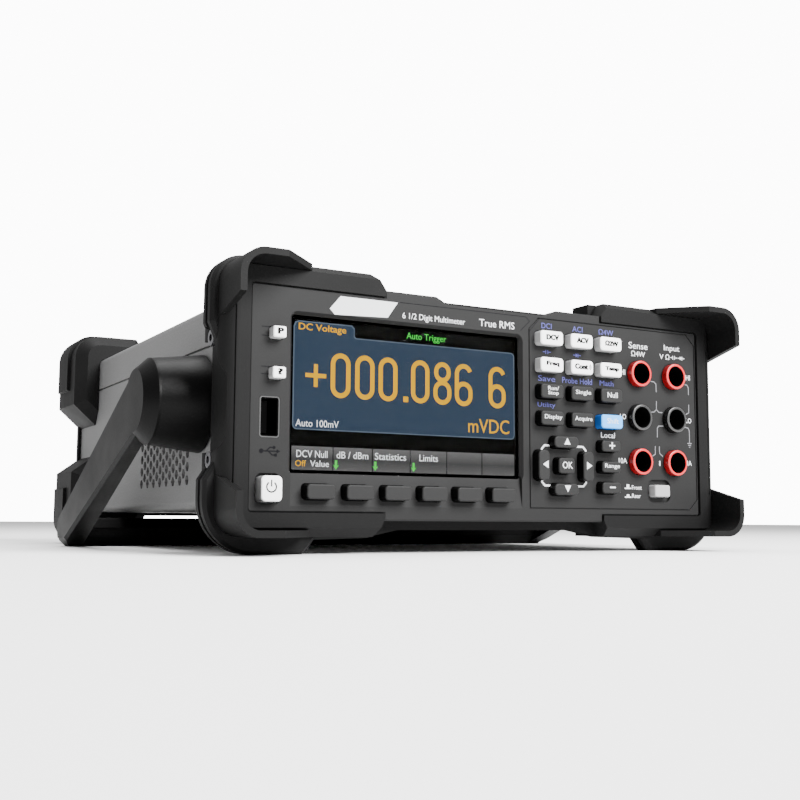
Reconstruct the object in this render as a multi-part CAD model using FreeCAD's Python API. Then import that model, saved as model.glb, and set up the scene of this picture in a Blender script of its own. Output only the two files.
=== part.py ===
import FreeCAD
import Part
import math
import os

V = FreeCAD.Vector

# Bench multimeter, half-rack size. Millimetres: x to the right, y from the front to the back,
# z up from the bench. While the pieces are made, y = 0 is the face of the control panel; save()
# moves everything so that the origin is the middle of the footprint.

# Case
case_half = 106.0
case_low = 15.5
case_high = 90.5
case_back = 226.0
case_front = 6.0
sheet = 1.2
case_radius = 3.0
seam_up = 59.5            # joint between the cover and the chassis, above the underside
seam_gap = 0.9
case_clear = 0.2          # bezel skirt around the case
flange_clear = 0.2        # chassis flange inside the cover

# Hexagonal vents in both side walls
vent_flats = 3.6
vent_pitch_y = 4.3
vent_pitch_z = 5.15
vent_columns = 15
vent_rows = 5
vent_first_y = 54.0
vent_first_up = 11.3      # above the underside of the case

# Moulded front
skirt_wall = 1.2          # bezel skirt around the case
flange_reach = 4.7        # the bumper's front flange covers this much of the bezel at the sides
panel_over = 3.1          # top of the bezel above the case
panel_under = 1.0         # its underside below the case, beside the middle
side_step = 1.0           # the bezel lies this far back under the flanges
lower_lip_drop = 2.7      # the middle of the bezel hangs this much lower
shoulder_rise = 2.5       # raised shoulders on the bezel's top edge
shoulder_in = 25.5        # where a shoulder starts, from the centre
finger_in = 50.2          # where the bumper's fingers end, from the centre
panel_thick = 3.0
skirt_back = 14.0
bezel_radius = 3.0
panel_radius = 1.5
panel_edge = 0.6

# Rubber front bumper
bumper_wall = 5.2         # side wall outside the bezel
bumper_proud = 0.8        # its front stands this far in front of the panel
bumper_back = 18.0
bumper_round = 6.0        # rounding of the side walls' front edges
bevel_back = 4.2          # slope on the front of the top and bottom edges
finger_rise = 6.0         # front of the fingers, above the panel
finger_drop = 5.1
edge_up = 8.7             # outer edge of the bumper above the panel
edge_down = 8.4
edge_radius = 9.2
middle_front = 8.0        # between the fingers the bumper starts this far back
middle_rise = 2.4
middle_drop = 3.3
lip_front = 16.0          # how far the corner lips stand in front of the panel
lip_wall = 2.4
lip_side = 22.0           # a lip's length down the side, before its slanted cut
lip_tip = 6.6             # height of the slanted end's front corner
lip_slant = 6.4
lip_nose = 17.1           # width of a lip's front edge along the top or bottom
lip_run = 32.5            # width where it meets the fingers
lobe_front = 5.0
lobe_back = 14.0
lobe_groove_front = 8.5
lobe_groove_back = 10.5
lobe_groove_deep = 2.5
lobe_chamfer = 1.2
lobe_out = 3.8            # lobes outside the side walls
lobe_upper_in = 1.2       # the upper ones stand out this much less
lobe_rise = 1.7           # top of the lobes above the bumper's edge
lobe_top_radius = 12.0
lobe_low_radius = 18.5
foot_reach = 37.4         # width of a front foot with its rounding
foot_radius = 2.5
scoop_deep = 2.9
scoop_half = 19.5
scoop_front = 0.6
line_in = 4.7             # fine groove down the front of each side wall, from its outside
line_wide = 0.5
line_deep = 0.5

# Rear bumper
pad_front_back = 34.0     # from the front of the pads to the back of the case
pad_step_back = 19.0
rear_proud = 3.6          # the bumper behind the case
pad_out = 11.0            # corner pad outside the case side
pad_up = 12.0             # and above the case top
pad_reach = 27.0          # along the top and bottom edges, from the side
pad_slope = 8.0           # slanted end of that stretch
pad_radius = 11.0
pad_bevel = 5.0
rim_rise = 1.5            # rim around the back of each pad
rim_back = 3.0            # and in front of the bumper's back
rear_ring = 8.5           # width of the ring behind the case edge
rear_ring_out = 1.5
rear_ring_radius = 4.0

# Carry handle
hub_y = 40.0
hub_up = 39.0             # above the underside of the case
hub_root = 18.2
hub_tip = 15.8
hub_gap = 0.6             # hub to case side
hub_clear = 1.2           # hub to bumper
arm_out = 19.5            # inner face of the arm at the hub, outside the case
arm_out_end = 15.3        # and where it meets the crossbar
arm_thick = 5.5
arm_end_radius = 11.5
bar_radius = 7.4
bar_z = 7.6
bar_front = 39.9          # from the arm's end to the rear pads
pivot_radius = 8.0
pivot_clear = 0.05
pivot_cover = 5.0         # arm in front of the pivot's end
pivot_end_gap = 0.5

# Display
screen_w = 95.04
screen_h = 53.86
screen_x = -38.26
screen_z = 56.09
lens_margin = 0.9
lens_thick = 0.9
lens_back = 2.5
lens_radius = 1.2
frame_margin = 2.0        # the sloped frame in front of the lens
frame_radius = 3.0
module_margin = 2.6
module_depth = 5.4
soft_panel_low = 16.8
soft_panel_margin = 1.2
line_left = 4.8           # fine line on the panel: from the picture,
line_right = 0.9          # and inside the panel's edges
line_low = 2.4
line_top = 1.1
line_cut = 4.6

# Keys
key_proud = 4.0
key_travel = 1.0
key_gap = 0.35            # key to panel, all round
key_flange = 0.8
flange_thick = 1.0
flange_rest_gap = 0.35
key_corner = 1.4
key_edge = 0.6
soft_w, soft_h = 10.9, 5.3
soft_z = 21.8
soft_first_x = -76.8
soft_pitch = 15.28
func_w, func_h = 11.0, 5.6
func_x = 37.7
func_pitch_x = 14.95
func_top_z = 84.1
func_pitch_z = 10.6
range_w, range_h = 9.6, 4.5
range_x = 52.0
range_z = 33.9
range_pitch = 8.4
nav_x = 29.4
nav_z = 33.8
nav_ok_w, nav_ok_h = 7.8, 6.2
nav_wide, nav_slim = 11.8, 4.6
nav_side_w, nav_side_h = 5.2, 11.8
nav_corner = 1.9
nav_reach_z = 9.3
nav_reach_x = 10.9
aux_in = 9.5              # centre of the small keys from the panel's left edge
aux_w, aux_h = 4.8, 4.0
aux_corner = 0.7
print_z = 76.4
help_z = 62.3
power_in, power_z = 7.4, 22.5
power_w, power_h = 7.6, 8.8
power_corner = 1.6
switch_in, switch_z = 22.4, 24.8
switch_w, switch_h = 8.2, 5.0
switch_corner = 1.0
switch_proud = 2.4
switch_travel = 2.0
power_well = 1.0          # shallow well around the power button
switch_well = 2.2         # and around the terminal switch
well_deep = 1.2

# Input jacks
jack_in = 14.2            # outer column from the panel's right edge
jack_pitch_x = 19.0
jack_pitch_z = 18.3
jack_mid_z = 55.0
jack_r = 5.4
jack_hole_r = 4.4
jack_proud = 3.0
jack_depth = 24.0
jack_floor = 4.0
jack_collar = 1.5
jack_edge = 0.45
contact_r = 2.9
contact_bore = 2.0
contact_front = 7.0
contact_tail = 3.0        # behind the shroud

# USB socket on the front
usb_in, usb_z = 7.7, 47.2
usb_w, usb_h = 6.4, 13.2
usb_wall = 0.4
usb_depth = 14.0
usb_window = 0.6

# Boards behind the panel
membrane_front = 5.9
membrane_thick = 3.0
board_thick = 1.6
board_gap = 2.0
board_side = 1.8          # front board to the inside of the bezel
main_board_up = 8.5       # above the underside of the case
main_board_room = 48.0    # behind the main board
main_board_front = 16.0   # behind the front board

# Rear panel and its fittings
rear_sheet = 1.5
rear_recess = 3.0
inlet_w, inlet_h = 27.0, 19.8
inlet_in, inlet_up = 32.0, 22.5
pin_back = 4.0            # pins end this far inside the rear panel
fuse_w, fuse_h = 21.0, 8.0
fuse_gap = 5.0
rear_jack_in = 22.0
lan_w, lan_h = 16.0, 13.5
usb_b_w, usb_b_h = 12.0, 11.0
data_drop = 20.0          # data sockets below the middle jacks
trigger_rise = 12.0       # trigger sockets above them
socket_x, socket_pitch = -8.0, 22.0
bnc_r = 4.8

# Fasteners
screw_r = 1.5
screw_hole_r = 1.7
screw_head_r = 2.9
screw_head_h = 2.4
screw_head_gap = 0.7
bumper_screw_y = 12.2
bumper_screw_ups = (16.9, 59.4)

# Places that follow from the sizes above
seam_z = case_low + seam_up
vent_first_z = case_low + vent_first_up
front_half = case_half + case_clear + skirt_wall
panel_half = front_half - flange_reach
panel_low = case_low - panel_under
panel_high = case_high + panel_over
side_x = front_half + bumper_wall
bezel_low = panel_low - lower_lip_drop
bumper_front = -bumper_proud
finger_top = panel_high + finger_rise
finger_low = panel_low - finger_drop
edge_top = panel_high + edge_up
edge_low = panel_low - edge_down
lobe_x = side_x + lobe_out
lobe_top = edge_top + lobe_rise
foot_inner = lobe_x - foot_reach
line_x = side_x - line_in
panel_back = panel_thick
case_end_wall = case_back - rear_recess
rear_front = case_back - pad_front_back
rear_step = case_back - pad_step_back
rear_back = case_back + rear_proud
board_y = membrane_front + membrane_thick
usable_half = case_half - sheet - flange_clear - 1.0
aux_x = aux_in - panel_half
power_x = power_in - panel_half
usb_x = usb_in - panel_half
switch_x = panel_half - switch_in
jack_in_x = panel_half - jack_in
jack_sense_x = jack_in_x - jack_pitch_x
rear_jack_x = rear_jack_in - case_half
inlet_x = case_half - inlet_in
inlet_z = case_low + inlet_up
main_board_z = case_low + main_board_up
main_board_back = case_back - main_board_room
bumper_screw_zs = [case_low + up for up in bumper_screw_ups]
hub_z = case_low + hub_up
arm_inner = case_half + arm_out
arm_inner_end = case_half + arm_out_end
arm_outer = arm_inner + arm_thick
bar_y = rear_front - bar_front
arm_length = math.hypot(bar_y - hub_y, hub_z - bar_z)
arm_tilt = math.atan2(bar_z - hub_z, bar_y - hub_y)
footprint_mid = (rear_back - lip_front) / 2


def box(x0, x1, y0, y1, z0, z1):
    return Part.makeBox(x1 - x0, y1 - y0, z1 - z0, V(x0, y0, z0))


def rod(start, direction, radius, length):
    return Part.makeCylinder(radius, length, V(*start), V(*direction))


def round_corner(before, corner, after, radius):
    """Tangent points and middle of the arc that rounds one corner."""
    a = (before - corner).normalize()
    b = (after - corner).normalize()
    half = a.getAngle(b) / 2
    inward = (a + b).normalize()
    reach = radius / math.tan(half)
    middle = corner + inward * (radius / math.sin(half) - radius)
    return corner + a * reach, middle, corner + b * reach


def outline_face(corners, place):
    """Face from (u, v) or (u, v, radius) corners; place turns u, v into a point."""
    points = [place(c[0], c[1]) for c in corners]
    radii = [c[2] if len(c) > 2 else 0 for c in corners]
    count = len(points)
    spans = []
    for i, radius in enumerate(radii):
        if radius:
            spans.append(round_corner(points[i - 1], points[i], points[(i + 1) % count], radius))
        else:
            spans.append((points[i], None, points[i]))
    edges = []
    for i, (start, middle, end) in enumerate(spans):
        last = spans[i - 1][2]
        if last.distanceToPoint(start) > 1e-4:
            edges.append(Part.makeLine(last, start))
        if middle is not None:
            edges.append(Part.Arc(start, middle, end).toShape())
    return Part.Face(Part.Wire(edges))


def prism_y(corners, y0, y1):
    return outline_face(corners, lambda u, v: V(u, y0, v)).extrude(V(0, y1 - y0, 0))


def prism_x(corners, x0, x1):
    return outline_face(corners, lambda u, v: V(x0, u, v)).extrude(V(x1 - x0, 0, 0))


def prism_z(corners, z0, z1):
    return outline_face(corners, lambda u, v: V(u, v, z0)).extrude(V(0, 0, z1 - z0))


def rounded_block(x, z, w, h, radius, y0, y1):
    corners = [(x - w / 2, z - h / 2, radius), (x + w / 2, z - h / 2, radius),
               (x + w / 2, z + h / 2, radius), (x - w / 2, z + h / 2, radius)]
    return prism_y(corners, y0, y1)


def fuse(shapes):
    return shapes[0].multiFuse(shapes[1:]).removeSplitter()


def mirrored(shape):
    return shape.mirror(V(0, 0, 0), V(1, 0, 0))


def front_edges(shape, y):
    """Edges that lie flat in the plane at this y."""
    return [e for e in shape.Edges if max(abs(e.BoundBox.YMin - y), abs(e.BoundBox.YMax - y)) < 1e-3]


def mirror_outline(right):
    """Close an outline given for the right half, from bottom centre to top centre."""
    left = [(-c[0],) + tuple(c[1:]) for c in reversed(right) if c[0] > 0]
    return right + left


# ---- keys and their openings

def block_corners(x, z, w, h, radius):
    return [(x - w / 2, z - h / 2, radius), (x + w / 2, z - h / 2, radius),
            (x + w / 2, z + h / 2, radius), (x - w / 2, z + h / 2, radius)]


def key_outlines():
    """Every key by name, as the corners of its cap."""
    keys = {}
    for i in range(6):
        x = soft_first_x + i * soft_pitch
        keys["soft_key_%d" % (i + 1)] = block_corners(x, soft_z, soft_w, soft_h, key_corner)
    names = (("dc_volts", "ac_volts", "two_wire_ohms"), ("frequency", "continuity", "temperature"),
             ("run_stop", "single", "null"), ("display", "acquire", "shift"))
    for row, row_names in enumerate(names):
        for column, name in enumerate(row_names):
            x = func_x + (column - 1) * func_pitch_x
            z = func_top_z - row * func_pitch_z
            keys[name + "_key"] = block_corners(x, z, func_w, func_h, key_corner)
    for sign, name in ((1, "nav_up_key"), (-1, "nav_down_key")):
        keys[name] = block_corners(nav_x, nav_z + sign * nav_reach_z, nav_wide, nav_slim, nav_corner)
    for sign, name in ((-1, "nav_left_key"), (1, "nav_right_key")):
        keys[name] = block_corners(nav_x + sign * nav_reach_x, nav_z, nav_side_w, nav_side_h, nav_corner)
    keys["nav_ok_key"] = block_corners(nav_x, nav_z, nav_ok_w, nav_ok_h, key_corner)
    for step, name in ((1, "range_up_key"), (0, "range_key"), (-1, "range_down_key")):
        keys[name] = block_corners(range_x, range_z + step * range_pitch, range_w, range_h, key_corner)
    keys["print_key"] = block_corners(aux_x, print_z, aux_w, aux_h, aux_corner)
    keys["help_key"] = block_corners(aux_x, help_z, aux_w, aux_h, aux_corner)
    keys["power_button"] = block_corners(power_x, power_z, power_w, power_h, power_corner)
    keys["terminal_switch"] = block_corners(switch_x, switch_z, switch_w, switch_h, switch_corner)
    return keys


def key_height(name):
    return switch_proud if name == "terminal_switch" else key_proud


def grown(corners, by, y0, y1):
    """Prism on an outline moved outwards by this much."""
    face = outline_face(corners, lambda u, v: V(u, y0, v))
    return Part.Face(face.OuterWire.makeOffset2D(by)).extrude(V(0, y1 - y0, 0))


def make_key(name, corners):
    flange_y = panel_back + flange_rest_gap
    front = -key_height(name)
    cap = prism_y(corners, front, flange_y)
    cap = cap.makeFillet(key_edge, front_edges(cap, front))
    flange = grown(corners, key_flange, flange_y, flange_y + flange_thick)
    return fuse([cap, flange])


def key_hole(corners):
    return grown(corners, key_gap, -1, panel_back + 1)


# ---- front bezel

def bezel_outline(half, radius):
    ramp = shoulder_rise
    return mirror_outline([
        (0, bezel_low), (finger_in, bezel_low), (finger_in, panel_low), (half, panel_low, radius),
        (half, panel_high, radius), (finger_in, panel_high), (finger_in, panel_high + shoulder_rise),
        (shoulder_in + ramp, panel_high + shoulder_rise), (shoulder_in - ramp, panel_high), (0, panel_high)])


def bezel_block(y_front):
    """Outer shape of the bezel: the panel face between the flanges and the wider body behind."""
    face = prism_y(bezel_outline(panel_half, panel_radius), y_front, side_step)
    return fuse([face, prism_y(bezel_outline(front_half, bezel_radius), side_step, skirt_back)])


def case_block(grow, y0, y1):
    corners = block_corners(0, (case_low + case_high) / 2, 2 * (case_half + grow),
                            case_high - case_low + 2 * grow, case_radius + grow)
    return prism_y(corners, y0, y1)


def cut_corner_frame(left, right, low, top, cut, wide, deep):
    """Groove along a rectangle; all its corners but the lower left one are cut off."""
    def outline(inset):
        l, r, b, t = left + inset, right - inset, low + inset, top - inset
        c = cut - inset * (2 - math.sqrt(2))
        corners = [(l, b), (r - c, b), (r, b + c), (r, t - c), (r - c, t), (l + c, t), (l, t - c)]
        return prism_y(corners, -1, deep)
    return outline(0).cut(outline(wide))


def panel_groove():
    """Fine line around the keys and jacks, to the right of the display."""
    left, right = screen_x + screen_w / 2 + line_left, panel_half - line_right
    low, top = panel_low + line_low, panel_high - line_top
    return cut_corner_frame(left, right, low, top, line_cut, line_wide, line_deep)


def display_recess():
    """Sloped frame, lens pocket and window, and the slanted field of the soft keys below."""
    lens_front = lens_back - lens_thick

    def ring(margin, radius, y):
        corners = block_corners(screen_x, screen_z, screen_w + 2 * margin, screen_h + 2 * margin, radius)
        return outline_face(corners, lambda u, v: V(u, y, v)).OuterWire

    rings = [ring(frame_margin, frame_radius, -0.01), ring(lens_margin, lens_radius, lens_front)]
    frame = Part.makeLoft(rings, True, True)
    room = 2 * (lens_margin + case_clear)
    corners = block_corners(screen_x, screen_z, screen_w + room, screen_h + room, lens_radius)
    pocket = prism_y(corners, lens_front - 0.01, lens_back)
    window = rounded_block(screen_x, screen_z, screen_w, screen_h, 0.5, -1, panel_back + 1)
    top = screen_z - screen_h / 2 - lens_margin
    half = screen_w / 2 + soft_panel_margin
    slope = prism_x([(-0.01, soft_panel_low), (-1, soft_panel_low), (-1, top + 1), (lens_front, top + 1),
                     (lens_front, top)], screen_x - half, screen_x + half)
    return [frame, pocket, window, slope]


def usb_opening():
    w, h = usb_w + 2 * usb_window, usb_h + 2 * usb_window
    return rounded_block(usb_x, usb_z, w, h, 1.2, -1, panel_back + 1)


def jack_places():
    rows = [jack_mid_z + jack_pitch_z, jack_mid_z, jack_mid_z - jack_pitch_z]
    return [(x, z) for z in rows for x in (jack_sense_x, jack_in_x)]


def side_screw_holes(radius, x_from, x_to):
    holes = []
    for z in bumper_screw_zs:
        hole = rod((x_from, bumper_screw_y, z), (1, 0, 0), radius, x_to - x_from)
        holes += [hole, mirrored(hole)]
    return holes


def front_bezel(keys):
    solid = bezel_block(0)
    solid = solid.makeChamfer(panel_edge, front_edges(solid, 0))
    cuts = [case_block(case_clear, panel_back, skirt_back + 1), panel_groove(), usb_opening()]
    cuts += display_recess()
    cuts += [key_hole(corners) for corners in keys.values()]
    for name, margin in (("power_button", power_well), ("terminal_switch", switch_well)):
        cuts.append(grown(keys[name], margin, -1, well_deep))
    cuts += [rod((x, -1, z), (0, 1, 0), jack_r + case_clear, panel_back + 2) for x, z in jack_places()]
    cuts += side_screw_holes(screw_hole_r, case_half - 8, side_x + 1)
    return solid.cut(Part.makeCompound(cuts))


# ---- front bumper

def lip(up):
    """One corner lip on the right: an L-shaped wall with both ends cut at a slant."""
    edge_z, base_z = (edge_top, panel_high) if up > 0 else (edge_low, panel_low)
    inner_x, inner_z = side_x - lip_wall, edge_z - up * lip_wall
    side_end = base_z - up * lip_side
    corner = [(side_x, side_end), (side_x, edge_z, edge_radius), (finger_in, edge_z), (finger_in, inner_z),
              (inner_x, inner_z, edge_radius - lip_wall), (inner_x, side_end)]
    back = lobe_front + 0.5
    wall = prism_y(corner, -lip_front, back)
    z0, z1 = sorted((edge_z - up * 20, edge_z + up * 1))
    plan = [(finger_in - 1, -lip_front - 1), (side_x - lip_nose + 1, -lip_front - 1),
            (side_x - lip_nose, -lip_front), (side_x - lip_run, bumper_front), (side_x - lip_run, back + 1),
            (finger_in - 1, back + 1)]
    tip = base_z - up * lip_tip
    far = base_z - up * 40
    side = [(-lip_front - 1, far), (-lip_front - 1, tip), (back + 1, tip - up * lip_slant), (back + 1, far)]
    return wall.cut(Part.makeCompound([prism_z(plan, z0, z1), prism_x(side, side_x - 12, side_x + 1)]))


def lobe_outline():
    """Rims at the corners of the bumper; the lower ones are the front feet."""
    mid_low, mid_top = bezel_low - middle_drop, panel_high + middle_rise
    upper_x = lobe_x - lobe_upper_in
    return mirror_outline([
        (0, mid_low), (finger_in - 10, mid_low), (finger_in + 4, mid_low - 2.8),
        (foot_inner - 4, mid_low - 3.4), (foot_inner, 0, foot_radius), (lobe_x, 0, lobe_low_radius),
        (lobe_x, panel_low + 11), (side_x, panel_low + 17), (side_x, panel_high - 20),
        (upper_x, panel_high - 14), (upper_x, lobe_top, lobe_top_radius),
        (lobe_x - 19, lobe_top), (lobe_x - 24, finger_top - 0.6), (finger_in + 4, finger_top - 0.6),
        (finger_in - 10, mid_top), (0, mid_top)])


def lobes():
    corners = lobe_outline()
    solid = prism_y(corners, lobe_front, lobe_back)
    rims = front_edges(solid, lobe_front) + front_edges(solid, lobe_back)
    solid = solid.makeChamfer(lobe_chamfer, rims)
    ring = prism_y(corners, lobe_groove_front, lobe_groove_back)
    groove = ring.cut(grown(corners, -lobe_groove_deep, lobe_groove_front, lobe_groove_back))
    return solid.cut(groove)


def bumper_frame():
    """Ring around the bezel and the front of the case, sloped at the front."""
    back = bumper_back
    corners = block_corners(0, (edge_low + edge_top) / 2, 2 * side_x, edge_top - edge_low, edge_radius)
    ring = prism_y(corners, bumper_front, back)
    plan = [(-side_x, bumper_front, bumper_round), (side_x, bumper_front, bumper_round), (side_x, back),
            (-side_x, back)]
    bevel = bumper_front + bevel_back
    profile = [(bumper_front, finger_low), (bevel, edge_low), (back, edge_low), (back, edge_top),
               (bevel, edge_top), (bumper_front, finger_top)]
    return ring.common(prism_z(plan, edge_low, edge_top)).common(prism_x(profile, -side_x, side_x))


def scoop():
    """Hollow in the side wall that clears the handle hub."""
    low, top = hub_z - scoop_half, hub_z + scoop_half
    corners = [(scoop_front, low, 6.0), (bumper_back + 1, low), (bumper_back + 1, top), (9.0, top, 3.0),
               (scoop_front, top - 13, 5.0)]
    return prism_x(corners, side_x - scoop_deep, side_x + 1)


def finger_gap(start_z, edge_z, up, rise, corner):
    """Opening between the two fingers along the top or the bottom edge."""
    return prism_y([(-finger_in, start_z - up), (finger_in, start_z - up), (finger_in, start_z + up * rise),
                    (finger_in + corner, edge_z + up), (-finger_in - corner, edge_z + up),
                    (-finger_in, start_z + up * rise)], bumper_front - 1, middle_front)


def front_bumper():
    top_gap = finger_gap(panel_high, edge_top, 1, middle_rise, 5.2)
    low_gap = finger_gap(panel_low, edge_low, -1, finger_drop - 3.0, 3.4)
    mid_top = box(-finger_in, finger_in, middle_front, bumper_back + 1, panel_high + middle_rise, edge_top + 1)
    mid_low = box(-finger_in, finger_in, middle_front, bumper_back + 1, edge_low - 1, bezel_low - middle_drop)
    frame = bumper_frame().cut(Part.makeCompound([mid_top, mid_low]))
    body = fuse([frame, lobes()]).cut(Part.makeCompound([top_gap, low_gap]))
    lips = [lip(1), lip(-1)]
    lips += [mirrored(shape) for shape in lips]
    solid = fuse([body] + lips)
    hub_space = rod((case_half, hub_y, hub_z), (1, 0, 0), hub_root + hub_clear, 20)
    line = box(line_x, line_x + line_wide, bumper_front - 1, bumper_front + 0.8, panel_low + 9, panel_high - 8)
    cuts = [bezel_block(bumper_front - 5), case_block(case_clear, skirt_back - 1, bumper_back + 1)]
    cuts += [scoop(), mirrored(scoop()), hub_space, mirrored(hub_space), line, mirrored(line)]
    cuts += side_screw_holes(screw_hole_r, case_half - 2, side_x + 1)
    cuts += side_screw_holes(screw_head_r + screw_head_gap, side_x - screw_head_h, side_x + lobe_out + 1)
    return solid.cut(Part.makeCompound(cuts))


# ---- case

def side_vents():
    across = vent_flats / math.cos(math.radians(30))
    hexagons = []
    for column in range(vent_columns):
        y = vent_first_y + column * vent_pitch_y
        lift = vent_pitch_z / 2 if column % 2 else 0
        for row in range(vent_rows):
            z = vent_first_z + lift + row * vent_pitch_z
            turns = [math.radians(60 * k) for k in range(6)]
            ring = [(y + across / 2 * math.cos(t), z + across / 2 * math.sin(t)) for t in turns]
            hexagons.append(prism_x(ring, -case_half - 1, case_half + 1))
    return hexagons


def case_shell():
    return case_block(0, case_front, case_back).cut(
        prism_y(block_corners(0, (case_low + case_high) / 2, 2 * (case_half - sheet),
                              case_high - case_low - 2 * sheet, case_radius - sheet + 0.3),
                case_front - 1, case_back + 1))


def top_cover():
    side, low = case_half + 1, seam_z + seam_gap / 2
    keep = box(-side, side, case_front - 1, case_back + 1, low, case_high + 1)
    cover = case_shell().common(keep)
    return cover.cut(Part.makeCompound(side_screw_holes(screw_hole_r, case_half - 8, case_half + 2)))


def chassis():
    side, high = case_half + 1, seam_z - seam_gap / 2
    keep = box(-side, side, case_front - 1, case_back + 1, case_low - 1, high)
    tray = case_shell().common(keep)
    inner = case_half - sheet
    low, top = seam_z - 6, seam_z + 6
    step = box(inner - 1.2, inner, case_front, case_end_wall - 1, low, seam_z - seam_gap / 2)
    flange = box(inner - 1.2, inner - flange_clear, case_front, case_end_wall - 1, low, top)
    tray = fuse([tray, step, flange, mirrored(step), mirrored(flange)])
    cuts = side_vents() + side_screw_holes(screw_hole_r, case_half - 8, case_half + 2)
    pivot = rod((case_half - 8, hub_y, hub_z), (1, 0, 0), pivot_radius, 10)
    cuts += [pivot, mirrored(pivot)]
    return tray.cut(Part.makeCompound(cuts))


# ---- rear

def rear_corner(up):
    """One corner pad of the rear bumper, on the right: a bevelled block with a raised rim behind."""
    if up > 0:
        outer_z, tip, cut, case_z = case_high + pad_up, hub_z + 3.5, hub_z + 13.5, case_high
    else:
        outer_z, tip, cut, case_z = rim_rise, hub_z - 11.5, hub_z - 19.5, case_low
    x = case_half
    outer = x + pad_out
    pad = [(x - pad_reach, tip), (x, tip), (outer, cut), (outer, outer_z, pad_radius),
           (x - pad_reach + pad_slope, outer_z), (x - pad_reach, case_z)]
    full = outline_face(pad, lambda u, v: V(u, rear_front + pad_bevel, v)).OuterWire
    nose = full.makeOffset2D(-pad_bevel)
    nose.translate(V(0, -pad_bevel, 0))
    bevel = Part.makeLoft([nose, full], True, True)
    block = Part.Face(full).extrude(V(0, rear_back - rear_front - pad_bevel, 0))
    rim_z = outer_z + up * rim_rise
    rim_tip = cut + up * 4
    rim = [(x - pad_reach, rim_tip), (x, rim_tip), (outer + rim_rise, rim_tip + up * 4),
           (outer + rim_rise, rim_z, pad_radius + rim_rise), (x - pad_reach + pad_slope, rim_z),
           (x - pad_reach, case_z)]
    band = prism_y(rim, rear_step, rear_back - rim_back)
    return fuse([bevel, block, band])


def rear_screw_places():
    x = case_half - rear_ring / 2 - 1.0
    inset = rear_ring / 2 + 1.0
    return [(sx * x, z) for sx in (-1, 1) for z in (case_low + inset, case_high - inset)]


def rear_bumper():
    pads = [rear_corner(1), rear_corner(-1)]
    pads += [mirrored(p) for p in pads]
    mid = (case_low + case_high) / 2
    height = case_high - case_low
    grow = 2 * rear_ring_out
    outer = rounded_block(0, mid, 2 * case_half + grow, height + grow, rear_ring_radius, case_back, rear_back)
    hole_w, hole_h = 2 * (case_half - rear_ring), height - 2 * rear_ring
    inner = rounded_block(0, mid, hole_w, hole_h, rear_ring_radius, case_back - 1, rear_back + 1)
    solid = fuse([outer] + pads)
    cuts = [inner, case_block(case_clear, case_front, case_back)]
    for x, z in rear_screw_places():
        cuts.append(rod((x, case_back - 1, z), (0, 1, 0), screw_hole_r, 10))
        cuts.append(rod((x, rear_back - screw_head_h + 0.8, z), (0, 1, 0), screw_head_r + 0.5, 10))
    return solid.cut(Part.makeCompound(cuts))


def mains_fittings():
    """Mains inlet with its three pins, and the fuse drawer above it, with their openings."""
    y, out = case_end_wall, case_end_wall + rear_sheet
    body = rounded_block(inlet_x, inlet_z, inlet_w, inlet_h, 3.0, y - 18, out)
    plate = rounded_block(inlet_x, inlet_z, inlet_w + 4, inlet_h + 4, 2.0, out, out + 2.0)
    mouth = rounded_block(inlet_x, inlet_z, inlet_w - 3, inlet_h - 3, 2.4, y - 14, out + 3)
    pins = [rounded_block(inlet_x + dx, inlet_z + dz, 2.0, 4.0, 0.4, y - 16, y - pin_back)
            for dx, dz in ((-7, -2), (0, 2), (7, -2))]
    inlet = fuse([fuse([body, plate]).cut(mouth)] + pins)
    fuse_z = inlet_z + inlet_h / 2 + fuse_h / 2 + fuse_gap
    drawer = rounded_block(inlet_x, fuse_z, fuse_w, fuse_h, 1.0, y - 16, out + 2.2)
    drawer = drawer.cut(box(inlet_x - 4, inlet_x + 4, out + 1.2, out + 3, fuse_z - 1, fuse_z + 1))
    holes = [rounded_block(inlet_x, inlet_z, inlet_w, inlet_h, 3.0, y - 1, out + 1),
             rounded_block(inlet_x, fuse_z, fuse_w, fuse_h, 1.0, y - 1, out + 1)]
    return inlet, drawer, holes


def data_fittings():
    """Network and USB sockets, with their openings."""
    y, out = case_end_wall, case_end_wall + rear_sheet
    z, usb_b_x = jack_mid_z - data_drop, socket_x - socket_pitch
    lan = rounded_block(socket_x, z, lan_w, lan_h, 0.6, y - 16, out + 1.0)
    lan = lan.cut(rounded_block(socket_x, z - 0.5, lan_w - 4, lan_h - 5, 0.4, y - 8, out + 2))
    usb_b = rounded_block(usb_b_x, z, usb_b_w, usb_b_h, 0.6, y - 14, out + 1.0)
    usb_b = usb_b.cut(rounded_block(usb_b_x, z, usb_b_w - 2.4, usb_b_h - 2.4, 1.2, y - 8, out + 2))
    usb_b = usb_b.fuse(rounded_block(usb_b_x, z, 5.6, 3.2, 0.4, y - 9, out - 0.5))
    holes = [rounded_block(socket_x, z, lan_w, lan_h, 0.6, y - 1, out + 1),
             rounded_block(usb_b_x, z, usb_b_w, usb_b_h, 0.6, y - 1, out + 1)]
    return Part.makeCompound([lan, usb_b]), holes


def trigger_fittings():
    """Two coaxial sockets for the trigger signals, with their openings."""
    y, z = case_end_wall, jack_mid_z + trigger_rise
    sockets, holes = [], []
    for x in (socket_x - socket_pitch, socket_x):
        tube = rod((x, y - 8, z), (0, 1, 0), bnc_r, 8 + rear_sheet + 4.4)
        tube = tube.cut(rod((x, y - 4, z), (0, 1, 0), bnc_r - 1.0, 20))
        sockets.append(tube.fuse(rod((x, y - 5, z), (0, 1, 0), 1.4, 8)))
        holes.append(rod((x, y - 1, z), (0, 1, 0), bnc_r, 4))
    return Part.makeCompound(sockets), holes


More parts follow.
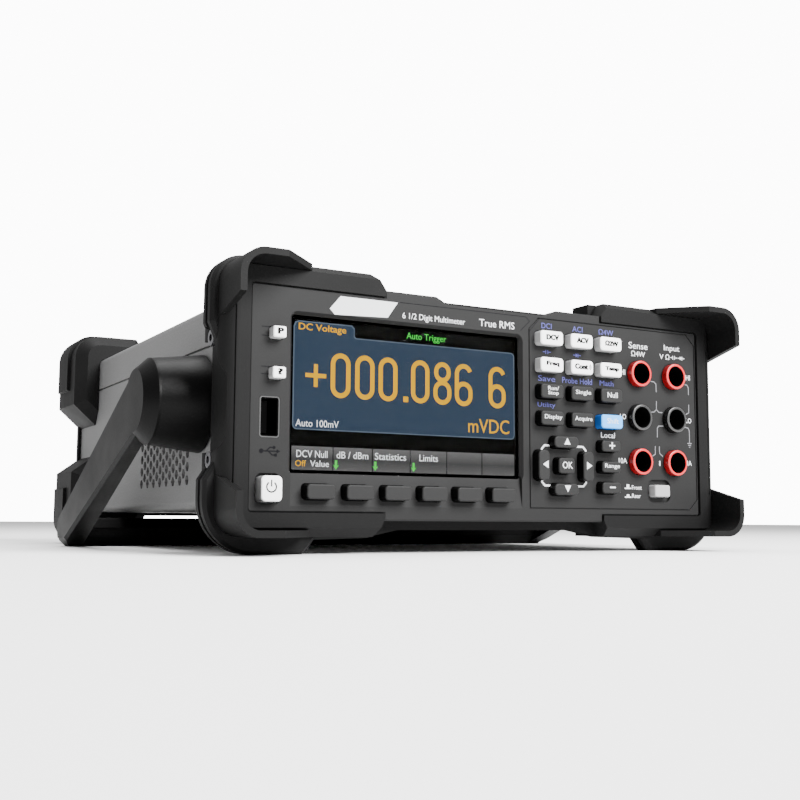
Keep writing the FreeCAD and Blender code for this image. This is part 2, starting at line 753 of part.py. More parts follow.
def rear_fittings():
    """Everything set into the rear panel by name, and all the openings it needs."""
    inlet, drawer, mains_holes = mains_fittings()
    data, data_holes = data_fittings()
    triggers, trigger_holes = trigger_fittings()
    places = rear_jack_places()
    jacks = [turned_to_rear(jack_shroud(x, z, rear_sheet)) for x, z in places]
    jack_holes = [rod((x, case_end_wall - 1, z), (0, 1, 0), jack_r + case_clear, 4) for x, z in places]
    parts = {"mains_inlet": inlet, "fuse_drawer": drawer, "rear_jacks": Part.makeCompound(jacks),
             "data_sockets": data, "trigger_sockets": triggers}
    return parts, mains_holes + data_holes + trigger_holes + jack_holes


def rear_panel(cut_tools):
    inner = case_half - sheet - 0.1
    mid = (case_low + case_high) / 2
    high = case_high - case_low - 2 * sheet - 0.2
    out = case_end_wall + rear_sheet
    plate = rounded_block(0, mid, 2 * inner, high, case_radius - sheet, case_end_wall, out)
    screws = [rod((x, case_end_wall - 1, z), (0, 1, 0), screw_r, 5) for x, z in rear_screw_places()]
    return plate.cut(Part.makeCompound(cut_tools + screws))


# ---- inside

def display_parts():
    w, h = screen_w + 2 * lens_margin, screen_h + 2 * lens_margin
    lens = rounded_block(screen_x, screen_z, w, h, 1.0, lens_back - lens_thick, lens_back)
    w, h = screen_w + 2 * module_margin, screen_h + 2 * module_margin
    front = panel_back + 0.1
    module = rounded_block(screen_x, screen_z, w, h, 0.8, front, front + module_depth)
    return lens, module


def board_outline(y0, y1):
    left = case_half - sheet - board_side
    right = jack_sense_x - jack_r - jack_collar - board_side
    return box(-left, right, y0, y1, case_low + 1.9, case_high - 2.0)


def front_boards():
    room = 2 * module_margin + 0.6
    w, h = screen_w + room, screen_h + room
    hole = rounded_block(screen_x, screen_z, w, h, 1.0, membrane_front - 1, board_y)
    usb_slot = rounded_block(usb_x, usb_z, usb_w + 1.0, usb_h + 1.0, 0.6, membrane_front - 1, board_y + 3)
    membrane = board_outline(membrane_front, board_y).cut(Part.makeCompound([hole, usb_slot]))
    board = board_outline(board_y + 0.05, board_y + 0.05 + board_thick).cut(usb_slot)
    return membrane, board


def jack_shroud(x, z, wall):
    """Insulated socket that pokes out through a wall of this thickness, with its face towards -y."""
    outer = rod((x, -jack_proud, z), (0, 1, 0), jack_r, jack_proud + jack_depth)
    rim = [e for e in outer.Edges if abs(e.BoundBox.YMax + jack_proud) < 1e-3]
    outer = outer.makeFillet(jack_edge, rim)
    collar = rod((x, wall + 0.1, z), (0, 1, 0), jack_r + jack_collar, 2)
    well = rod((x, -jack_proud - 1, z), (0, 1, 0), jack_hole_r, jack_proud + 1 + jack_depth - jack_floor)
    seat = rod((x, 0, z), (0, 1, 0), contact_r + 0.02, jack_depth + 2)
    return fuse([outer, collar]).cut(Part.makeCompound([well, seat]))


def jack_contact(x, z):
    tube = rod((x, contact_front, z), (0, 1, 0), contact_r, jack_depth + contact_tail - contact_front)
    return tube.cut(rod((x, contact_front - 1, z), (0, 1, 0), contact_bore, jack_depth + 6))


def turned_to_rear(shape):
    """Same piece on the rear panel, facing backwards."""
    flipped = shape.mirror(V(0, 0, 0), V(0, 1, 0))
    flipped.translate(V(0, case_end_wall + rear_sheet, 0))
    return flipped


def rear_jack_places():
    rows = (jack_mid_z + jack_pitch_z, jack_mid_z, jack_mid_z - jack_pitch_z)
    return [(rear_jack_x + column * jack_pitch_x, z) for column in (0, 1) for z in rows][:5]


def jack_contacts():
    tubes = [jack_contact(x, z) for x, z in jack_places()]
    tubes += [turned_to_rear(jack_contact(x, z)) for x, z in rear_jack_places()]
    return Part.makeCompound(tubes)


def usb_socket():
    y0, y1 = 0.4, usb_depth
    shell = rounded_block(usb_x, usb_z, usb_w, usb_h, 0.6, y0, y1)
    hollow = rounded_block(usb_x, usb_z, usb_w - 2 * usb_wall, usb_h - 2 * usb_wall, 0.3, y0 - 1, y1 - 1.5)
    tongue = box(usb_x - 2.2, usb_x - 0.3, 2.0, y1 - 1, usb_z - 5.6, usb_z + 5.6)
    return shell.cut(hollow).fuse(tongue)


def main_board_parts():
    z = main_board_z
    front = board_y + board_thick + board_gap + main_board_front
    half = usable_half - 3
    board = box(-half, half, front, main_board_back, z, z + board_thick)
    rows = (front + 6, (front + main_board_back) / 2, main_board_back - 6)
    places = [(sx * (half - 5), y) for sx in (-1, 1) for y in rows]
    posts = []
    for x, y in places:
        post = rod((x, y, case_low + sheet), (0, 0, 1), 3.0, z - case_low - sheet)
        posts.append(post.fuse(rod((x, y, z), (0, 0, 1), screw_r, board_thick + 0.8)))
    holes = [rod((x, y, z - 1), (0, 0, 1), screw_r, board_thick + 2) for x, y in places]
    board = board.cut(Part.makeCompound(holes))
    top = z + board_thick
    can = box(10, half - 14, front + 20, front + 95, top, top + 16).cut(
        box(11, half - 15, front + 21, front + 94, top - 1, top + 15))
    core = box(-half + 8, -half + 58, main_board_back - 62, main_board_back - 14, top, top + 42)
    coil = rounded_block(-half + 33, top + 21, 38, 30, 5, main_board_back - 70, main_board_back - 6)
    beeper = rod((half - 12, front + 10, top), (0, 0, 1), 6.0, 6.5).cut(
        rod((half - 12, front + 10, top + 3), (0, 0, 1), 1.2, 5))
    return {"main_board": board, "board_posts": Part.makeCompound(posts), "shield_can": can,
            "mains_transformer": fuse([core, coil]), "beeper": beeper}


# ---- fasteners and handle

def socket_screw(head_centre, into, length):
    """Socket head screw: the head's outer face is at head_centre, the shank runs along into."""
    start, way = V(*head_centre), V(*into)
    head = Part.makeCylinder(screw_head_r, screw_head_h, start, way)
    shank = Part.makeCylinder(screw_r, length, start + way * screw_head_h, way)
    angle = FreeCAD.Rotation(V(0, 0, 1), way)
    turns = [math.radians(60 * k) for k in range(7)]
    ring = [start + angle.multVec(V(1.5 * math.cos(t), 1.5 * math.sin(t), -0.5)) for t in turns]
    socket = Part.Face(Part.makePolygon(ring)).extrude(way * 2.2)
    return fuse([head, shank]).cut(socket)


def bumper_screws():
    screws = []
    for z in bumper_screw_zs:
        screw = socket_screw((side_x, bumper_screw_y, z), (-1, 0, 0), side_x - case_half + 3.5)
        screws += [screw, mirrored(screw)]
    return Part.makeCompound(screws)


def rear_screws():
    depth = rear_back + 0.8 - screw_head_h - case_end_wall
    screws = [socket_screw((x, rear_back + 0.8, z), (0, -1, 0), depth) for x, z in rear_screw_places()]
    return Part.makeCompound(screws)


def pivots():
    inner = case_half - sheet
    shank = rod((inner, hub_y, hub_z), (1, 0, 0), pivot_radius, arm_inner - pivot_cover - inner)
    flange = rod((inner - 1.6, hub_y, hub_z), (1, 0, 0), pivot_radius + 4, 1.6)
    pivot = fuse([shank, flange])
    return Part.makeCompound([pivot, mirrored(pivot)])


def arm_outline(wide, narrow):
    """Strip around two circles, the hub end and the crossbar end, in the side view."""
    tilt = arm_tilt
    lean = math.asin((wide - narrow) / arm_length)
    centres = ((hub_y, hub_z, wide), (bar_y, bar_z, narrow))

    def at(centre, angle):
        return V(0, centre[0] + centre[2] * math.cos(angle), centre[1] + centre[2] * math.sin(angle))

    up, down = tilt + math.pi / 2 - lean, tilt - math.pi / 2 + lean
    hub, bar = centres
    bar_end = Part.Arc(at(bar, up), at(bar, tilt), at(bar, down)).toShape()
    hub_end = Part.Arc(at(hub, down), at(hub, tilt + math.pi), at(hub, up)).toShape()
    top, under = Part.makeLine(at(hub, up), at(bar, up)), Part.makeLine(at(bar, down), at(hub, down))
    return Part.Wire([top, bar_end, under, hub_end])


def arm():
    """Right arm with its hub."""
    strip = Part.Face(arm_outline(arm_end_radius, bar_radius)).extrude(V(arm_outer, 0, 0))
    strip = strip.makeChamfer(1.2, [e for e in strip.Edges if e.BoundBox.XMin > arm_outer - 0.01])
    front, behind = hub_y - 40, bar_y + 30
    inside = [(-1, front), (arm_inner, front), (arm_inner, hub_y), (arm_inner_end, bar_y),
              (arm_inner_end, behind), (-1, behind)]
    strip = strip.cut(prism_z(inside, -20, edge_top + 20))
    out, root, face = V(1, 0, 0), case_half + hub_gap, arm_inner + 0.9
    cone = Part.makeCone(hub_root, hub_tip, arm_inner - root, V(root, hub_y, hub_z), out)
    cap = Part.makeCone(hub_tip, arm_end_radius, arm_outer - face, V(face, hub_y, hub_z), out)
    disc = rod((arm_inner, hub_y, hub_z), (1, 0, 0), hub_tip, 0.9)
    depth = arm_inner - pivot_cover + pivot_end_gap - case_half
    bore = rod((case_half, hub_y, hub_z), (1, 0, 0), pivot_radius + pivot_clear, depth)
    return fuse([strip, cone, disc, cap]).cut(bore)


def carry_handle():
    low = box(-arm_outer - 1, arm_outer + 1, 0, bar_y + 40, -40, 0)
    section = [(bar_y - 2.5, 0, 1.0), (bar_y + 6.0, 0, 1.5), (bar_y + 8.2, 5.0, 2.0), (bar_y + 5.5, 12.6, 2.0),
               (bar_y - 4.5, 12.6, 2.0), (bar_y - 8.0, 8.0, 1.0), (bar_y - 7.0, 4.6, 0.6)]
    bar = prism_x(section, -arm_outer + 1.2, arm_outer - 1.2)
    solid = fuse([bar, arm(), mirrored(arm())])
    ends = prism_y([(arm_outer - 4.5, -1), (arm_outer + 1, 5.0), (arm_outer + 1, -1)], bar_y - 30, bar_y + 30)
    return solid.cut(Part.makeCompound([low, ends, mirrored(ends)]))


def save(shape, name):
    placed = shape.copy()
    placed.translate(V(0, -footprint_mid, 0))
    placed.exportStep("parts/%s.step" % name)


def build():
    os.makedirs("parts", exist_ok=True)
    keys = key_outlines()
    fittings, rear_cuts = rear_fittings()
    lens, module = display_parts()
    membrane, board = front_boards()
    places = jack_places()
    red = [jack_shroud(x, z, panel_thick) for x, z in places[:2] + places[4:]]
    black = [jack_shroud(x, z, panel_thick) for x, z in places[2:4]]
    nodes = {"front_bezel": front_bezel(keys), "front_bumper": front_bumper(), "top_cover": top_cover(),
             "chassis": chassis(), "rear_bumper": rear_bumper(), "rear_panel": rear_panel(rear_cuts),
             "display_lens": lens, "display_module": module, "keypad_membrane": membrane, "front_board": board,
             "red_jacks": Part.makeCompound(red), "black_jacks": Part.makeCompound(black),
             "jack_contacts": jack_contacts(),
             "usb_socket": usb_socket(), "bumper_screws": bumper_screws(), "rear_screws": rear_screws(),
             "handle_pivots": pivots(), "carry_handle": carry_handle()}
    nodes.update(fittings)
    nodes.update(main_board_parts())
    for name, corners in keys.items():
        nodes[name] = make_key(name, corners)
    for name, shape in nodes.items():
        save(shape, name)
        print(name, "solids", len(shape.Solids), "valid", shape.isValid(), "volume", round(shape.Volume))


build()
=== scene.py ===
import bpy
import bmesh
import math
from mathutils import Matrix, Vector


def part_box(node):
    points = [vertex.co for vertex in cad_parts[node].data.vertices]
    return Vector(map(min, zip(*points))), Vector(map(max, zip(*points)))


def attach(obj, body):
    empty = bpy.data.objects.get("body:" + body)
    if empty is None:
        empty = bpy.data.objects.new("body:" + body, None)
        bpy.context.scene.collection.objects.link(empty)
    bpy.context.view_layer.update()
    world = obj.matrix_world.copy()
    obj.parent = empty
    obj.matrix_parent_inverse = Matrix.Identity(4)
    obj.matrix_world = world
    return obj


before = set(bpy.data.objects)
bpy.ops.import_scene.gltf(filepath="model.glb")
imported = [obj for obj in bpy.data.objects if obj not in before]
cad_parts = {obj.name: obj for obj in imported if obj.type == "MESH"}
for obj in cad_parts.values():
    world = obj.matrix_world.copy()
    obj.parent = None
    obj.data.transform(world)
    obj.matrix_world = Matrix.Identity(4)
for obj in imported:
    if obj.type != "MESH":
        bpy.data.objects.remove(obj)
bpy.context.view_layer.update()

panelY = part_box("front_bezel")[0].y * 1000    # control panel face, in mm like every size below
print("frame loaded, panel face at", round(panelY, 2))


def spot(x, y, z):
    # x from the middle, y behind the panel face, z above the bench
    return Vector((x, panelY + y, z)) / 1000


def finishPiece(name, mesh, material, body):
    piece = bpy.data.objects.new(name, mesh)
    bpy.context.scene.collection.objects.link(piece)
    mesh.materials.clear()
    mesh.materials.append(material)
    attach(piece, body)
    return piece


def addPlate(bm, corners, front, back):
    # closed flat plate from corners (x, z) given anticlockwise from the front
    near = [bm.verts.new(spot(x, front, z)) for x, z in corners]
    far = [bm.verts.new(spot(x, back, z)) for x, z in corners]
    bm.faces.new(near)
    bm.faces.new(far[::-1])
    for i in range(len(near)):
        j = (i + 1) % len(near)
        bm.faces.new((near[j], near[i], far[i], far[j]))


def ribbonCorners(points, width):
    # outline of an open line with mitred corners
    pts = [Vector(p) for p in points]
    left, right = [], []
    for i, p in enumerate(pts):
        before = (p - pts[i - 1]).normalized() if i else (pts[1] - p).normalized()
        after = (pts[i + 1] - p).normalized() if i < len(pts) - 1 else before
        side = Vector((-before.y - after.y, before.x + after.x))
        side = side / max(side.length_squared, 0.001) * width
        left.append(p + side)
        right.append(p - side)
    return [tuple(p) for p in left[::-1] + right]


def roundedCorners(x0, x1, z0, z1, radius, steps=4):
    ring = []
    for cx, cz, start in ((x0 + radius, z0 + radius, 180), (x1 - radius, z0 + radius, 270),
                          (x1 - radius, z1 - radius, 0), (x0 + radius, z1 - radius, 90)):
        for k in range(steps + 1):
            a = math.radians(start + 90 * k / steps)
            ring.append((cx + radius * math.cos(a), cz + radius * math.sin(a)))
    return ring


def addFrame(bm, outer, inner, front, back):
    # closed band between two rings of the same number of corners
    rows = [[bm.verts.new(spot(x, y, z)) for x, z in ring]
            for ring, y in ((outer, front), (outer, back), (inner, back), (inner, front))]
    n = len(outer)
    for i in range(n):
        j = (i + 1) % n
        for a, b in ((0, 1), (1, 2), (2, 3), (3, 0)):
            bm.faces.new((rows[a][j], rows[a][i], rows[b][i], rows[b][j]))


def addWords(bm, words, x0, x1, z0, z1, surface, thick=0.08, bold=0.0, rear=False):
    # lettering that fills a box; it starts just inside the surface and faces the front or the rear
    curve = bpy.data.curves.new("words", "FONT")
    curve.body = words
    curve.resolution_u = 3
    curve.offset = bold
    curve.extrude = 0.5
    holder = bpy.data.objects.new("words", curve)
    bpy.context.scene.collection.objects.link(holder)
    bpy.context.view_layer.update()
    ready = holder.evaluated_get(bpy.context.evaluated_depsgraph_get())
    mesh = bpy.data.meshes.new_from_object(ready)
    low = [min(v.co[i] for v in mesh.vertices) for i in range(3)]
    high = [max(v.co[i] for v in mesh.vertices) for i in range(3)]
    for v in mesh.vertices:
        across = (v.co.x - low[0]) / (high[0] - low[0])
        up = (v.co.y - low[1]) / (high[1] - low[1])
        out = (v.co.z - low[2]) / (high[2] - low[2])
        x, out = (x1 - across * (x1 - x0), -out) if rear else (x0 + across * (x1 - x0), out)
        inside = -thick / 4 if rear else thick / 4
        v.co = spot(x, surface + inside - out * thick, z0 + up * (z1 - z0))
    bm.from_mesh(mesh)
    bpy.data.objects.remove(holder)
    bpy.data.curves.remove(curve)
    bpy.data.meshes.remove(mesh)


def closeMesh(bm, name):
    bmesh.ops.remove_doubles(bm, verts=bm.verts, dist=1e-7)
    bmesh.ops.triangulate(bm, faces=[f for f in bm.faces if len(f.verts) > 4])
    bmesh.ops.recalc_face_normals(bm, faces=bm.faces)
    mesh = bpy.data.meshes.new(name)
    bm.to_mesh(mesh)
    bm.free()
    return mesh


def newMaterial(name):
    material = bpy.data.materials.new(name)
    material.use_nodes = True
    nodes = material.node_tree.nodes
    nodes.clear()
    shader = nodes.new("ShaderNodeBsdfPrincipled")
    output = nodes.new("ShaderNodeOutputMaterial")
    material.node_tree.links.new(shader.outputs["BSDF"], output.inputs["Surface"])
    return material, shader


def addNoise(material, scale, detail, stretch=(1, 1, 1)):
    nodes, links = material.node_tree.nodes, material.node_tree.links
    where = nodes.new("ShaderNodeTexCoord")
    turn = nodes.new("ShaderNodeMapping")
    turn.inputs["Scale"].default_value = stretch
    noise = nodes.new("ShaderNodeTexNoise")
    noise.inputs["Scale"].default_value = scale
    noise.inputs["Detail"].default_value = detail
    links.new(where.outputs["Object"], turn.inputs["Vector"])
    links.new(turn.outputs["Vector"], noise.inputs["Vector"])
    return noise


def addRange(material, source, low, high):
    # spreads a 0..1 value between two values
    node = material.node_tree.nodes.new("ShaderNodeMapRange")
    node.inputs["From Min"].default_value = 0.3
    node.inputs["From Max"].default_value = 0.7
    node.inputs["To Min"].default_value = low
    node.inputs["To Max"].default_value = high
    material.node_tree.links.new(source, node.inputs["Value"])
    return node.outputs["Result"]


def addMix(material, factor, colourA, colourB):
    node = material.node_tree.nodes.new("ShaderNodeMix")
    node.data_type = "RGBA"
    node.inputs["A"].default_value = (*colourA, 1)
    node.inputs["B"].default_value = (*colourB, 1)
    material.node_tree.links.new(factor, node.inputs["Factor"])
    return node.outputs["Result"]


def addBump(material, shader, height, distance, strength=0.5):
    node = material.node_tree.nodes.new("ShaderNodeBump")
    node.inputs["Strength"].default_value = strength
    node.inputs["Distance"].default_value = distance
    material.node_tree.links.new(height, node.inputs["Height"])
    material.node_tree.links.new(node.outputs["Normal"], shader.inputs["Normal"])


def isInFront(material, y):
    # 1 in front of a depth behind the panel face, else 0
    nodes, links = material.node_tree.nodes, material.node_tree.links
    where = nodes.new("ShaderNodeTexCoord")
    parts = nodes.new("ShaderNodeSeparateXYZ")
    test = nodes.new("ShaderNodeMath")
    test.operation = "LESS_THAN"
    test.inputs[1].default_value = (panelY + y) / 1000
    links.new(where.outputs["Object"], parts.inputs["Vector"])
    links.new(parts.outputs["Y"], test.inputs[0])
    return test.outputs["Value"]


def shade(value):
    # linear colour from a grey of 0..255
    return ((value / 255) ** 2.2,) * 3


def mouldedMaterial(name, grey, grain, bump, roughness, gloss=0.08):
    # moulded plastic or rubber: fine spark grain and slightly uneven gloss
    material, shader = newMaterial(name)
    fine = addNoise(material, grain, 3)
    broad = addNoise(material, 40, 2)
    base = shade(grey)
    colour = addMix(material, broad.outputs["Fac"], [c * 0.93 for c in base], [c * 1.07 for c in base])
    uneven = addRange(material, broad.outputs["Fac"], roughness - 0.05, roughness + 0.05)
    links = material.node_tree.links
    links.new(colour, shader.inputs["Base Color"])
    links.new(uneven, shader.inputs["Roughness"])
    addBump(material, shader, fine.outputs["Fac"], bump)
    shader.inputs["Specular IOR Level"].default_value = gloss
    return material


# depths behind the panel face where a moulding changes colour: key sides behind keyFace are painted shade,
# jack rims in front of jackRim are a painted highlight, and jack wells behind the last depth are painted
# shade
lookDepth = {"keyFace": -3.45, "jackRim": -2.75, "jackShadeDepth": -0.2}


def keyMaterial(name, faceColour, sideShadeColour, roughness):
    # key caps moulded in one colour: the face keeps the key's colour and the sides behind it are painted
    # darker as shade
    material, shader = newMaterial(name)
    links = material.node_tree.links
    fine = addNoise(material, 1800, 2)
    face = isInFront(material, lookDepth["keyFace"])
    uneven = addRange(material, fine.outputs["Fac"], roughness - 0.04, roughness + 0.04)
    links.new(addMix(material, face, sideShadeColour, faceColour), shader.inputs["Base Color"])
    links.new(uneven, shader.inputs["Roughness"])
    addBump(material, shader, fine.outputs["Fac"], 0.00002, 0.3)
    shader.inputs["Specular IOR Level"].default_value = 0.1
    return material


def jackMaterial(name, rimHighlightColour, bodyColour, wellShadeColour):
    # glossy insulated sockets: the front rim is painted lighter as a highlight, the barrel has the plain
    # colour, and the inside of the well is painted dark as shade
    material, shader = newMaterial(name)
    links = material.node_tree.links
    fine = addNoise(material, 900, 2)
    rim = isInFront(material, lookDepth["jackRim"])
    outside = isInFront(material, lookDepth["jackShadeDepth"])
    body = addMix(material, outside, wellShadeColour, bodyColour)
    mix = material.node_tree.nodes.new("ShaderNodeMix")
    mix.data_type = "RGBA"
    links.new(rim, mix.inputs["Factor"])
    links.new(body, mix.inputs["A"])
    mix.inputs["B"].default_value = (*rimHighlightColour, 1)
    links.new(mix.outputs["Result"], shader.inputs["Base Color"])
    links.new(addRange(material, fine.outputs["Fac"], 0.26, 0.38), shader.inputs["Roughness"])
    addBump(material, shader, fine.outputs["Fac"], 0.00002, 0.2)
    return material


def paintMaterial():
    # powder coated steel, fine orange peel
    material, shader = newMaterial("casePaint")
    peel = addNoise(material, 1500, 4)
    broad = addNoise(material, 18, 3)
    links = material.node_tree.links
    links.new(addMix(material, broad.outputs["Fac"], shade(86), shade(95)), shader.inputs["Base Color"])
    links.new(addRange(material, peel.outputs["Fac"], 0.42, 0.58), shader.inputs["Roughness"])
    addBump(material, shader, peel.outputs["Fac"], 0.00006, 0.5)
    return material


def metalMaterial(name, colour, roughness, stretch):
    # turned or drawn metal with fine marks along one direction
    material, shader = newMaterial(name)
    marks = addNoise(material, 900, 4, stretch)
    links = material.node_tree.links
    tone = addMix(material, marks.outputs["Fac"], [c * 0.85 for c in colour], colour)
    uneven = addRange(material, marks.outputs["Fac"], roughness - 0.08, roughness + 0.08)
    links.new(tone, shader.inputs["Base Color"])
    links.new(uneven, shader.inputs["Roughness"])
    addBump(material, shader, marks.outputs["Fac"], 0.00002, 0.3)
    shader.inputs["Metallic"].default_value = 1
    return material


def boardMaterial():
    # solder mask over a weave, with darker copper areas showing through
    material, shader = newMaterial("boardGreen")
    nodes, links = material.node_tree.nodes, material.node_tree.links
    where = nodes.new("ShaderNodeTexCoord")
    cells = nodes.new("ShaderNodeTexVoronoi")
    cells.distance = "CHEBYCHEV"
    cells.inputs["Scale"].default_value = 220
    links.new(where.outputs["Object"], cells.inputs["Vector"])
    colour = addMix(material, cells.outputs["Distance"], (0.01, 0.11, 0.045), (0.02, 0.19, 0.07))
    links.new(colour, shader.inputs["Base Color"])
    addBump(material, shader, cells.outputs["Distance"], 0.00004, 0.4)
    shader.inputs["Roughness"].default_value = 0.35
    return material


def coreMaterial():
    # stacked laminations seen as fine lines across the core
    material, shader = newMaterial("coreSteel")
    nodes, links = material.node_tree.nodes, material.node_tree.links
    where = nodes.new("ShaderNodeTexCoord")
    wave = nodes.new("ShaderNodeTexWave")
    wave.bands_direction = "Z"
    wave.inputs["Scale"].default_value = 320
    wave.inputs["Distortion"].default_value = 0.4
    links.new(where.outputs["Object"], wave.inputs["Vector"])
    tone = addMix(material, wave.outputs["Fac"], (0.05, 0.05, 0.055), (0.16, 0.15, 0.14))
    links.new(tone, shader.inputs["Base Color"])
    addBump(material, shader, wave.outputs["Fac"], 0.0001)
    shader.inputs["Metallic"].default_value = 0.7
    shader.inputs["Roughness"].default_value = 0.5
    return material


def lensMaterial():
    material, shader = newMaterial("lensClear")
    haze = addNoise(material, 300, 2)
    uneven = addRange(material, haze.outputs["Fac"], 0.0, 0.03)
    material.node_tree.links.new(uneven, shader.inputs["Roughness"])
    shader.inputs["Base Color"].default_value = (1, 1, 1, 1)
    shader.inputs["Transmission Weight"].default_value = 1
    shader.inputs["IOR"].default_value = 1.04
    return material


def litMaterial(name, colour, strength=0.8):
    # lit part of the screen, with a faint dot pattern
    material, shader = newMaterial(name)
    nodes, links = material.node_tree.nodes, material.node_tree.links
    dots = addNoise(material, 2500, 1)
    tone = addMix(material, dots.outputs["Fac"], [c * 0.92 for c in colour], colour)
    links.new(tone, shader.inputs["Emission Color"])
    shader.inputs["Emission Strength"].default_value = strength
    shader.inputs["Base Color"].default_value = (0.002, 0.002, 0.002, 1)
    shader.inputs["Specular IOR Level"].default_value = 0
    shader.inputs["Roughness"].default_value = 0.6
    return material


def stripMaterial():
    # softly shaded key labels along the bottom of the screen: lighter towards the lower edge
    material, shader = newMaterial("labelStrip")
    nodes, links = material.node_tree.nodes, material.node_tree.links
    where = nodes.new("ShaderNodeTexCoord")
    parts = nodes.new("ShaderNodeSeparateXYZ")
    height = nodes.new("ShaderNodeMapRange")
    height.inputs["From Min"].default_value = labelStrip["low"] / 1000
    height.inputs["From Max"].default_value = labelStrip["top"] / 1000
    links.new(where.outputs["Object"], parts.inputs["Vector"])
    links.new(parts.outputs["Z"], height.inputs["Value"])
    ramp = nodes.new("ShaderNodeValToRGB")
    ramp.color_ramp.elements[0].color = (*shade(112), 1)
    ramp.color_ramp.elements[1].color = (*shade(128), 1)
    middle = ramp.color_ramp.elements.new(0.45)
    middle.color = (*shade(84), 1)
    links.new(height.outputs["Result"], ramp.inputs["Fac"])
    links.new(ramp.outputs["Color"], shader.inputs["Emission Color"])
    shader.inputs["Emission Strength"].default_value = 0.8
    shader.inputs["Base Color"].default_value = (0.002, 0.002, 0.002, 1)
    shader.inputs["Specular IOR Level"].default_value = 0
    return material


def inkMaterial(name, colour):
    # screen printed ink, a little chalky
    material, shader = newMaterial(name)
    mottle = addNoise(material, 3000, 2)
    links = material.node_tree.links
    tone = addMix(material, mottle.outputs["Fac"], [c * 0.9 for c in colour], colour)
    links.new(tone, shader.inputs["Base Color"])
    links.new(addRange(material, mottle.outputs["Fac"], 0.5, 0.65), shader.inputs["Roughness"])
    shader.inputs["Specular IOR Level"].default_value = 0.03
    return material


finishes = {
    "bezel_plastic": mouldedMaterial("bezelPlastic", 35, 1600, 0.00004, 0.5),
    "bumper_rubber": mouldedMaterial("bumperRubber", 22, 1100, 0.00006, 0.55),
    "handle_plastic": mouldedMaterial("handlePlastic", 11, 1000, 0.00008, 0.42),
    "case_paint": paintMaterial(),
    "lens_clear": lensMaterial(),
    "screen_black": mouldedMaterial("screenBlack", 6, 2000, 0.00001, 0.35, 0.02),
    "membrane_rubber": mouldedMaterial("membraneRubber", 58, 900, 0.00005, 0.6),
    "board_green": boardMaterial(),
    # jack colours: rim lighter as a painted highlight, then the barrel, then the well darkest as painted
    # shade
    "red_plastic": jackMaterial("redPlastic", (0.50, 0.012, 0.016), (0.20, 0.003, 0.005),
                                (0.02, 0.0005, 0.001)),
    "black_plastic": jackMaterial("blackPlastic", shade(46), shade(12), shade(4)),
    "contact_brass": metalMaterial("contactBrass", (0.30, 0.19, 0.07), 0.4, (1, 0.05, 1)),
    "plated_steel": metalMaterial("platedSteel", (0.62, 0.62, 0.64), 0.28, (1, 1, 0.1)),
    "dark_steel": metalMaterial("darkSteel", (0.17, 0.17, 0.18), 0.34, (1, 1, 0.1)),
    "core_steel": coreMaterial(),
    # key colours: face, then the sides darker as painted shade
    "white_key": keyMaterial("whiteKey", shade(250), shade(150), 0.38),
    "dark_key": keyMaterial("darkKey", shade(37), shade(9), 0.5),
    # dark liners that paint the shade inside the jack wells
    "jackWellShade": mouldedMaterial("jackWellShade", 10, 1500, 0.00001, 0.5, 0.05),
    "usbRim": mouldedMaterial("usbRim", 60, 1500, 0.00001, 0.35, 0.3),
    # blue key: face, then the sides darker as painted shade
    "blue_key": keyMaterial("blueKey", (0.07, 0.34, 0.80), (0.01, 0.09, 0.36), 0.4),
}
inks = {
    "white": inkMaterial("whiteInk", (0.62, 0.63, 0.64)),
    "black": inkMaterial("blackInk", (0.002, 0.002, 0.002)),
    "violet": inkMaterial("violetInk", (0.08, 0.08, 0.26)),
    "grey": inkMaterial("greyInk", (0.17, 0.17, 0.18)),
    "dark": inkMaterial("darkInk", (0.005, 0.005, 0.006)),
}


nodeFinish = {
    "front_bezel": "bezel_plastic", "front_bumper": "bumper_rubber", "rear_bumper": "bumper_rubber",
    "carry_handle": "handle_plastic", "top_cover": "case_paint", "chassis": "case_paint",
    "rear_panel": "case_paint",
    "display_lens": "lens_clear", "display_module": "screen_black", "keypad_membrane": "membrane_rubber",
    "front_board": "board_green", "main_board": "board_green", "red_jacks": "red_plastic",
    "black_jacks": "black_plastic", "rear_jacks": "black_plastic", "jack_contacts": "contact_brass",
    "usb_socket": "screen_black", "bumper_screws": "dark_steel", "rear_screws": "plated_steel",
    "handle_pivots": "plated_steel", "mains_inlet": "black_plastic", "fuse_drawer": "black_plastic",
    "data_sockets": "plated_steel", "trigger_sockets": "plated_steel", "board_posts": "contact_brass",
    "shield_can": "plated_steel", "mains_transformer": "core_steel", "beeper": "black_plastic",
    "shift_key": "blue_key",
}
whiteKeys = ["dc_volts_key", "ac_volts_key", "two_wire_ohms_key", "frequency_key", "continuity_key",
             "temperature_key", "print_key", "help_key", "power_button", "terminal_switch"]
for keyName in whiteKeys:
    nodeFinish[keyName] = "white_key"


def paintNodes():
    for name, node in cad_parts.items():
        for place in node.material_slots:
            place.material = finishes[nodeFinish.get(name, "dark_key")]


paintNodes()
print("materials on", len(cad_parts), "nodes")


# what the screen shows; depths are behind the panel face
screenPicture = {"back": 3.05, "panel": 2.92, "line": 2.88, "words": 2.86, "margin": 0.4, "corner": 1.6,
                 "proud": 0.06, "sunk": 0.02, "left": -85.3, "right": 9.1, "low": 43.6, "top": 77.8,
                 "tabTop": 82.3, "tabEnd": -61.2}
labelStrip = {"left": -85.4, "right": 8.9, "low": 29.5, "top": 37.8, "firstLine": -69.4, "pitch": 15.8,
              "lineWide": 0.35, "count": 5}


